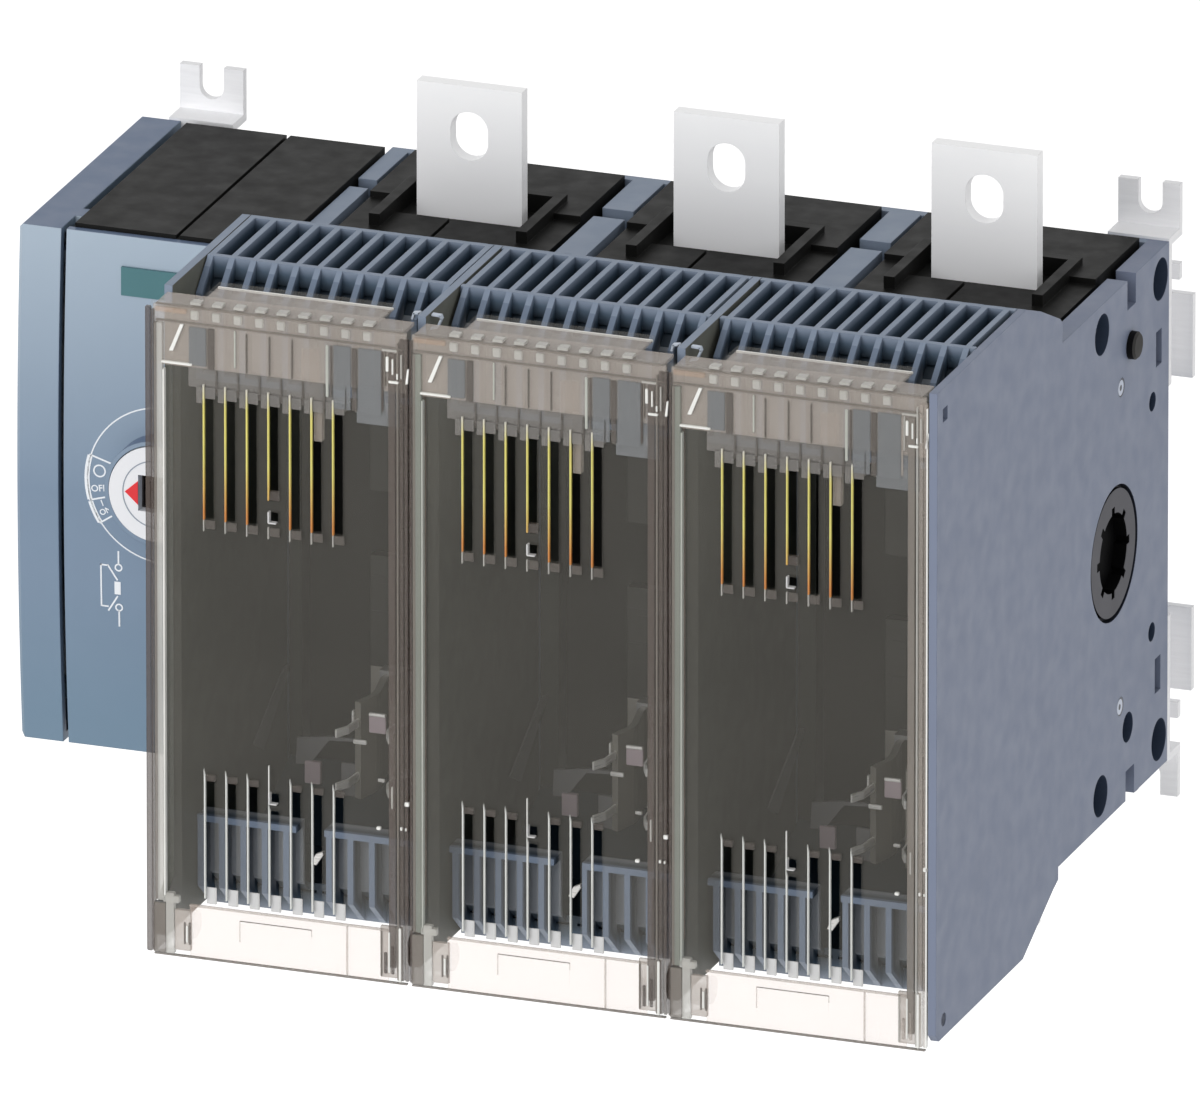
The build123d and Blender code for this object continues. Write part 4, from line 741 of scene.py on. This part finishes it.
def cover_details(number, edge):
    """Painted highlights, reflections, tints and shade of a clear cover, as thin strips along its ribs, thick
    edges, slot edges and corner gusset.
    """
    body = f"cover_{number}"
    by_kind = {}
    for r0, r1, d0, d1, z0, z1, kind in COVER_STRIPS:
        if number == 3 and r0 == WIDE_LINE:
            kind = "cover_line"
        elif number == 3 and r0 > RIGHT_PART:
            kind = PALE.get(kind, kind)
        if number == 1 and r1 < LEFT_PART:
            kind = PALE_RIB.get(kind, kind)
        if kind not in by_kind:
            by_kind[kind] = bmesh.new()
        add_block(by_kind[kind], edge + r0, edge + r1, d0, d1, z0, z1, 0.15)
    lines = by_kind["cover_rib"]
    glints = by_kind["glint"]
    gusset = [(edge + 7.2, 103.2), (edge + 8.6, 103.2), (edge + 12.6, 113.4), (edge + 11.4, 113.4)]
    add_prism(glints, gusset, 240.6, 241.9)
    for tooth in range(SLOT_COUNT + 2):
        x = edge + SLOT_FIRST + 5.0 + (tooth - 1) * SLOT_PITCH
        add_block(lines, x - 1.9, x + 1.9, 237.1, 240.9, 120.6, 121.6, 0.1)
        add_block(lines, x - 1.7, x + 1.3, 240.4, 241.4, 115.3, 118.6, 0.3)
    # Painted shadows below the grille's nose, and painted shade at and beside the slots' ends
    shadows = by_kind["nose_warm"]
    shadow_bars = by_kind["nose_dark"]
    for index in range(SLOT_COUNT):
        x = edge + SLOT_FIRST + index * SLOT_PITCH
        add_block(shadows, x + 0.5, x + 4.4, 241.0, 241.4, 86.8, 91.0, 0.08)
        add_block(shadows, x - 2.6, x - 0.3, 241.0, 241.4, 84.8 + index % 2, 91.0, 0.08)
        add_block(shadow_bars, x + 4.6, x + 5.3, 241.0, 241.5, 88.4, 97.2, 0.08)
        add_block(shadow_bars, x + 0.6, x + 4.2, 240.8, 241.4, 38.6, 41.8, 0.08)
        if index != SHORT_SLOT:
            add_block(shadow_bars, x + 0.6, x + 4.0, 239.8, 241.4, -55.2, -53.0, 0.08)
        add_block(lines, x - 0.1, x + 0.3, 240.8, 241.8, 37.6, 42.0, 0.08)
    x = edge + SLOT_FIRST + SHORT_SLOT * SLOT_PITCH
    add_block(shadow_bars, x + 0.3, x + 4.0, 239.8, 241.4, 52.0, 55.4, 0.08)
    add_block(glints, x - 0.05, x + 0.3, 241.0, 241.85, -58.5, -46.5, 0.08)
    latch = [(edge + 94.9, 101.4), (edge + 95.7, 101.4), (edge + 96.2, 106.9), (edge + 95.6, 106.9)]
    add_prism(glints, latch, 240.8, 241.9)
    if number == 3:
        add_block(glints, edge + 95.3, edge + 95.9, 240.8, 241.9, -120.5, 116.0, 0.1)
    for kind, shape in by_kind.items():
        name = f"{kind}_lines_{number}"
        put(name, shape, kind, body)
    # Painted highlights on the slot edges and on the feet below the slots
    jambs = bmesh.new()
    tabs = bmesh.new()
    for index in range(SLOT_COUNT):
        x = edge + SLOT_FIRST + index * SLOT_PITCH
        cut = SHORT_SLOT_CUT if index == SHORT_SLOT else 0.0
        add_block(jambs, x - 0.1, x + 0.5, 240.7, 241.85, 42.0 + cut, 92.0, 0.08)
        add_block(jambs, x - 0.05, x + 0.5, 240.7, 241.85, -99.0, -53.0 - cut, 0.08)
        tip = [(x - 0.05, -53.0 - cut), (x + 0.45, -53.0 - cut), (x - 0.1, -50.6 - cut)]
        add_prism(jambs, tip, 241.0, 241.85)
        add_block(tabs, x + 0.3, x + 4.0, 239.7, 240.2, -101.3, -95.2, 0.1)
        if cut:
            for low in (43.7, -60.7):
                add_block(tabs, x - 0.1, x + 0.5, 239.8, 241.85, low, low + 4.0, 0.08)
                add_block(tabs, x, x + 3.0, 239.8, 241.85, low - 0.3, low + 0.2, 0.08)
    put(f"slot_edges_{number}", jambs, "jamb", body)
    put(f"slot_feet_{number}", tabs, "slot_foot", body)


def add_ribbon(shape, points, z0, z1, thick):
    """A thin strip on edge along (x, depth) points in mm, smooth enough for a sprung contact."""
    for (x0, d0), (x1, d1) in zip(points, points[1:]):
        along = Vector((x1 - x0, d1 - d0)).normalized()
        side = Vector((-along.y, along.x)) * thick / 2
        corners = [(x0 - side.x, d0 - side.y), (x1 - side.x, d1 - side.y), (x1 + side.x, d1 + side.y),
                   (x0 + side.x, d0 + side.y)]
        low = [shape.verts.new(place(x, d, z0)) for x, d in corners]
        high = [shape.verts.new(place(x, d, z1)) for x, d in corners]
        join_rings(shape, low, high)


# Painted glints and parts of the lower fuse contacts, from the pole's centre; LEAF is a painted glint in the
# grille gap
FIN_BLOCKS = [
    (-7.8, -2.8, 152.6, 153.6, -68.9, -67.3), (-8.9, -8.1, 150.0, 152.0, -63.2, -57.4),
    (-2.4, 3.8, 151.0, 152.4, -58.3, -57.2), (0.7, 3.3, 150.6, 151.6, -82.9, -81.7),
]
LEAF = [(-7.2, -98.2), (-5.2, -98.6), (-2.6, -94.6), (-2.8, -93.4), (-5.4, -94.6)]
WING = [
    (-7.0, -68.4), (-7.0, -69.4), (-18.0, -70.2), (-25.5, -80.0), (-30.5, -80.4), (-30.0, -70.6),
    (-18.4, -68.8),
]


def compartment_details(number, centre):
    """Ridge on the wall, engraved marks, and the fins, pads and wings of the fuse contacts; the pads and the
    fins' small blocks and leaf are painted highlights.
    """
    wall = centre - HALF_PITCH + 1.15 if number > 1 else LEFT_WALL_X
    ridge = bmesh.new()
    flat = [(110.5, -58.4), (117.5, -57.0), (149.0, -75.5), (139.0, -81.0)]
    low = [ridge.verts.new(place(wall - 0.3, d, z)) for d, z in flat]
    high = [ridge.verts.new(place(wall + 0.35, d, z)) for d, z in flat]
    join_rings(ridge, low, high)
    put(f"wall_ridge_{number}", ridge, "mark", "base")
    marks = bmesh.new()
    for x0, x1, z in ((-14.0, -2.0, -20.0), (-11.0, -3.0, -22.5), (-14.5, -1.0, -33.0)):
        add_block(marks, centre + x0, centre + x1, 115.8, 116.2, z - 0.3, z + 0.3, 0.1)
    put(f"strip_marks_{number}", marks, "engraved", "base")
    fins = bmesh.new()
    for side in (1, -1):
        for hand in (1, -1):
            path = [(centre + hand * 8.6, 120.0), (centre + hand * 10.4, 130.0), (centre + hand * 9.6, 140.0),
                    (centre + hand * 6.4, 150.0), (centre + hand * 7.4, 160.0), (centre + hand * 10.0, 165.0)]
            for near in (60.0, 80.0):
                z0, z1 = sorted((side * near, side * (near + 3.0)))
                add_ribbon(fins, path, z0, z1, 0.8)
    for x0, x1, d0, d1, z0, z1 in FIN_BLOCKS:
        add_block(fins, centre + x0, centre + x1, d0, d1, z0, z1, 0.15)
    add_prism(fins, [(centre + x, z) for x, z in LEAF], 196.0, 198.0)
    put(f"contact_fins_{number}", fins, "fin", "base")
    # Painted highlights on the contacts
    pads = bmesh.new()
    add_block(pads, centre - 2.4, centre + 3.8, 150.6, 152.0, -64.6, -58.2, 0.2)
    add_block(pads, centre - 26.8, centre - 21.0, 149.2, 151.2, -86.8, -78.6, 0.2)
    put(f"contact_pads_{number}", pads, "pad", "base")
    wings = bmesh.new()
    add_prism(wings, [(centre + x, z) for x, z in WING], 149.0, 150.2)
    add_block(wings, centre - 13.5, centre - 7.5, 149.0, 150.2, -90.0, -78.0, 0.2)
    add_block(wings, centre - 28.3, centre - 27.3, 108.5, 111.5, -95.0, -56.0, 0.2)
    put(f"contact_wings_{number}", wings, "wing", "base")


for number, edge in enumerate(COVER_EDGES, 1):
    cover_details(number, edge)
    compartment_details(number, edge + COVER_TO_CENTRE)
flange = bmesh.new()
add_block(flange, COVER_EDGES[0] - 1.8, COVER_EDGES[0] + 0.2, 240.0, 241.8, -121.0, 118.5, 0.3)
put("cover_flange_left", flange, "cover_dark", "cover_1")


# Hooks over the top of the partitions

def add_arch(shape, points, depth, width, thick):
    """A bent strip along (x, z) points in mm, width deep in the front-to-back direction."""
    for (x0, z0), (x1, z1) in zip(points, points[1:]):
        along = Vector((x1 - x0, z1 - z0)).normalized()
        side = Vector((-along.y, along.x)) * thick / 2
        ends = along * thick / 4
        a = Vector((x0, z0)) - ends
        b = Vector((x1, z1)) + ends
        corners = [a - side, b - side, b + side, a + side]
        add_prism(shape, [(corner.x, corner.y) for corner in corners], depth, depth + width)


for number, middle in enumerate(COVER_EDGES[1:], 1):
    hooks = bmesh.new()
    left = [(-5.2, 119.0), (-4.6, 121.1), (-2.6, 121.4), (-1.4, 120.0), (-1.8, 118.4)]
    right = [(2.2, 121.3), (5.2, 121.2), (5.6, 120.2), (4.2, 117.0), (1.2, 116.0)]
    add_arch(hooks, [(middle + x, z) for x, z in left], 222.0, 2.0, 0.7)
    add_arch(hooks, [(middle + x, z) for x, z in right], 222.0, 2.0, 0.7)
    put(f"partition_hooks_{number}", hooks, "hook", "base")


# Slide spring, drawn as a coil in place of the CAD spring

def slide_spring():
    """A coil on the CAD spring's own axis, between its lower end and its fixed upper end."""
    cad = nodes["slide_spring"]
    corners = [cad.matrix_world @ Vector(corner) for corner in cad.bound_box]
    axis = sum(corners, Vector()) / 8.0
    axis.z = 0.0
    shape = bmesh.new()
    turns, sides, per_turn = 9, 8, 20
    low, long, radius, wire = 31.0, 63.5, 6.0, 0.9
    rings = []
    for i in range(turns * per_turn + 1):
        angle = 2 * pi * i / per_turn
        out = Vector((cos(angle), sin(angle), 0.0))
        along = Vector((-radius * sin(angle), radius * cos(angle), long / turns / (2 * pi))).normalized()
        up = along.cross(out)
        centre = out * radius + Vector((0.0, 0.0, low + long * i / (turns * per_turn)))
        ring = []
        for j in range(sides):
            t = 2 * pi * j / sides
            point = centre + (out * cos(t) + up * sin(t)) * wire
            ring.append(shape.verts.new(axis + point / 1000.0))
        rings.append(ring)
    for ring, after in zip(rings, rings[1:]):
        for j in range(sides):
            k = (j + 1) % sides
            shape.faces.new([ring[j], ring[k], after[k], after[j]])
    shape.faces.new(list(reversed(rings[0])))
    shape.faces.new(rings[-1])
    obj = put("slide_spring_coil", shape, "band", "base")
    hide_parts("slide_spring")
    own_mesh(obj)


slide_spring()


# Camera, lights and surroundings

def look_from(obj, aim, offset):
    obj.location = aim + offset
    obj.rotation_euler = (-offset).to_track_quat("-Z", "Y").to_euler()


VIEW_DIRECTION = Vector((0.3214, -0.8830, 0.3420))
VIEW_DISTANCE = 17.52
aim = Vector((0.0242, -0.134, -0.0002))
camera_data = bpy.data.cameras.new("camera")
camera_data.type = "PERSP"
camera_data.lens = 1500.0
camera_data.sensor_width = 36.0
camera_data.clip_start = 0.5
camera_data.clip_end = 200.0
camera = bpy.data.objects.new("camera", camera_data)
bpy.context.scene.collection.objects.link(camera)
look_from(camera, aim, VIEW_DIRECTION * VIEW_DISTANCE)
bpy.context.scene.camera = camera


def softbox(name, offset, size, power):
    data = bpy.data.lights.new(name, "AREA")
    data.shape = "SQUARE"
    data.size = size
    data.energy = power
    lamp = bpy.data.objects.new(name, data)
    bpy.context.scene.collection.objects.link(lamp)
    look_from(lamp, aim, Vector(offset))
    lamp.visible_camera = False


softbox("key_light", (-0.5, -1.2, 0.4), 0.9, 8.5)
softbox("side_light", (1.5, -0.6, 0.3), 1.0, 2.7)


def surroundings():
    """White backdrop, an even ambient light and a floor below the part."""
    world = bpy.data.worlds.new("plain_world")
    bpy.context.scene.world = world
    world.use_nodes = True
    tree = world.node_tree
    tree.nodes.clear()
    out = tree.nodes.new("ShaderNodeOutputWorld")
    mix = tree.nodes.new("ShaderNodeMixShader")
    ambient = tree.nodes.new("ShaderNodeBackground")
    ambient.inputs["Color"].default_value = WHITE
    ambient.inputs["Strength"].default_value = 0.58
    backdrop = tree.nodes.new("ShaderNodeBackground")
    backdrop.inputs["Color"].default_value = WHITE
    backdrop.inputs["Strength"].default_value = 1.0
    tree.links.new(seen_ray(tree), mix.inputs[0])
    tree.links.new(ambient.outputs[0], mix.inputs[1])
    tree.links.new(backdrop.outputs[0], mix.inputs[2])
    tree.links.new(mix.outputs[0], out.inputs[0])

    floor_material = bpy.data.materials.new("plain_floor")
    floor_material.use_nodes = True
    tree = floor_material.node_tree
    shader = tree.nodes["Principled BSDF"]
    shader.inputs["Base Color"].default_value = (0.9, 0.9, 0.9, 1.0)
    shader.inputs["Roughness"].default_value = 0.9
    shader.inputs["Specular IOR Level"].default_value = 0.1
    shader.inputs["Emission Color"].default_value = WHITE
    lift = tree.nodes.new("ShaderNodeMath")
    lift.operation = "MULTIPLY"
    tree.links.new(seen_ray(tree), lift.inputs[0])
    lift.inputs[1].default_value = 0.6
    tree.links.new(lift.outputs[0], shader.inputs["Emission Strength"])
    shape = bmesh.new()
    bmesh.ops.create_grid(shape, x_segments=2, y_segments=2, size=60.0)
    mesh = mesh_from("floor", shape)
    mesh.materials.append(floor_material)
    floor = bpy.data.objects.new("floor", mesh)
    floor.location = (0.0, 0.0, -0.6)
    bpy.context.scene.collection.objects.link(floor)


def seen_ray(tree):
    """1 for camera, glossy and transmission rays, which see the background as white."""
    path = tree.nodes.new("ShaderNodeLightPath")
    first = tree.nodes.new("ShaderNodeMath")
    first.operation = "MAXIMUM"
    tree.links.new(path.outputs["Is Camera Ray"], first.inputs[0])
    tree.links.new(path.outputs["Is Glossy Ray"], first.inputs[1])
    both = tree.nodes.new("ShaderNodeMath")
    both.operation = "MAXIMUM"
    tree.links.new(first.outputs[0], both.inputs[0])
    tree.links.new(path.outputs["Is Transmission Ray"], both.inputs[1])
    return both.outputs[0]


surroundings()
bpy.context.scene.view_settings.view_transform = "Standard"
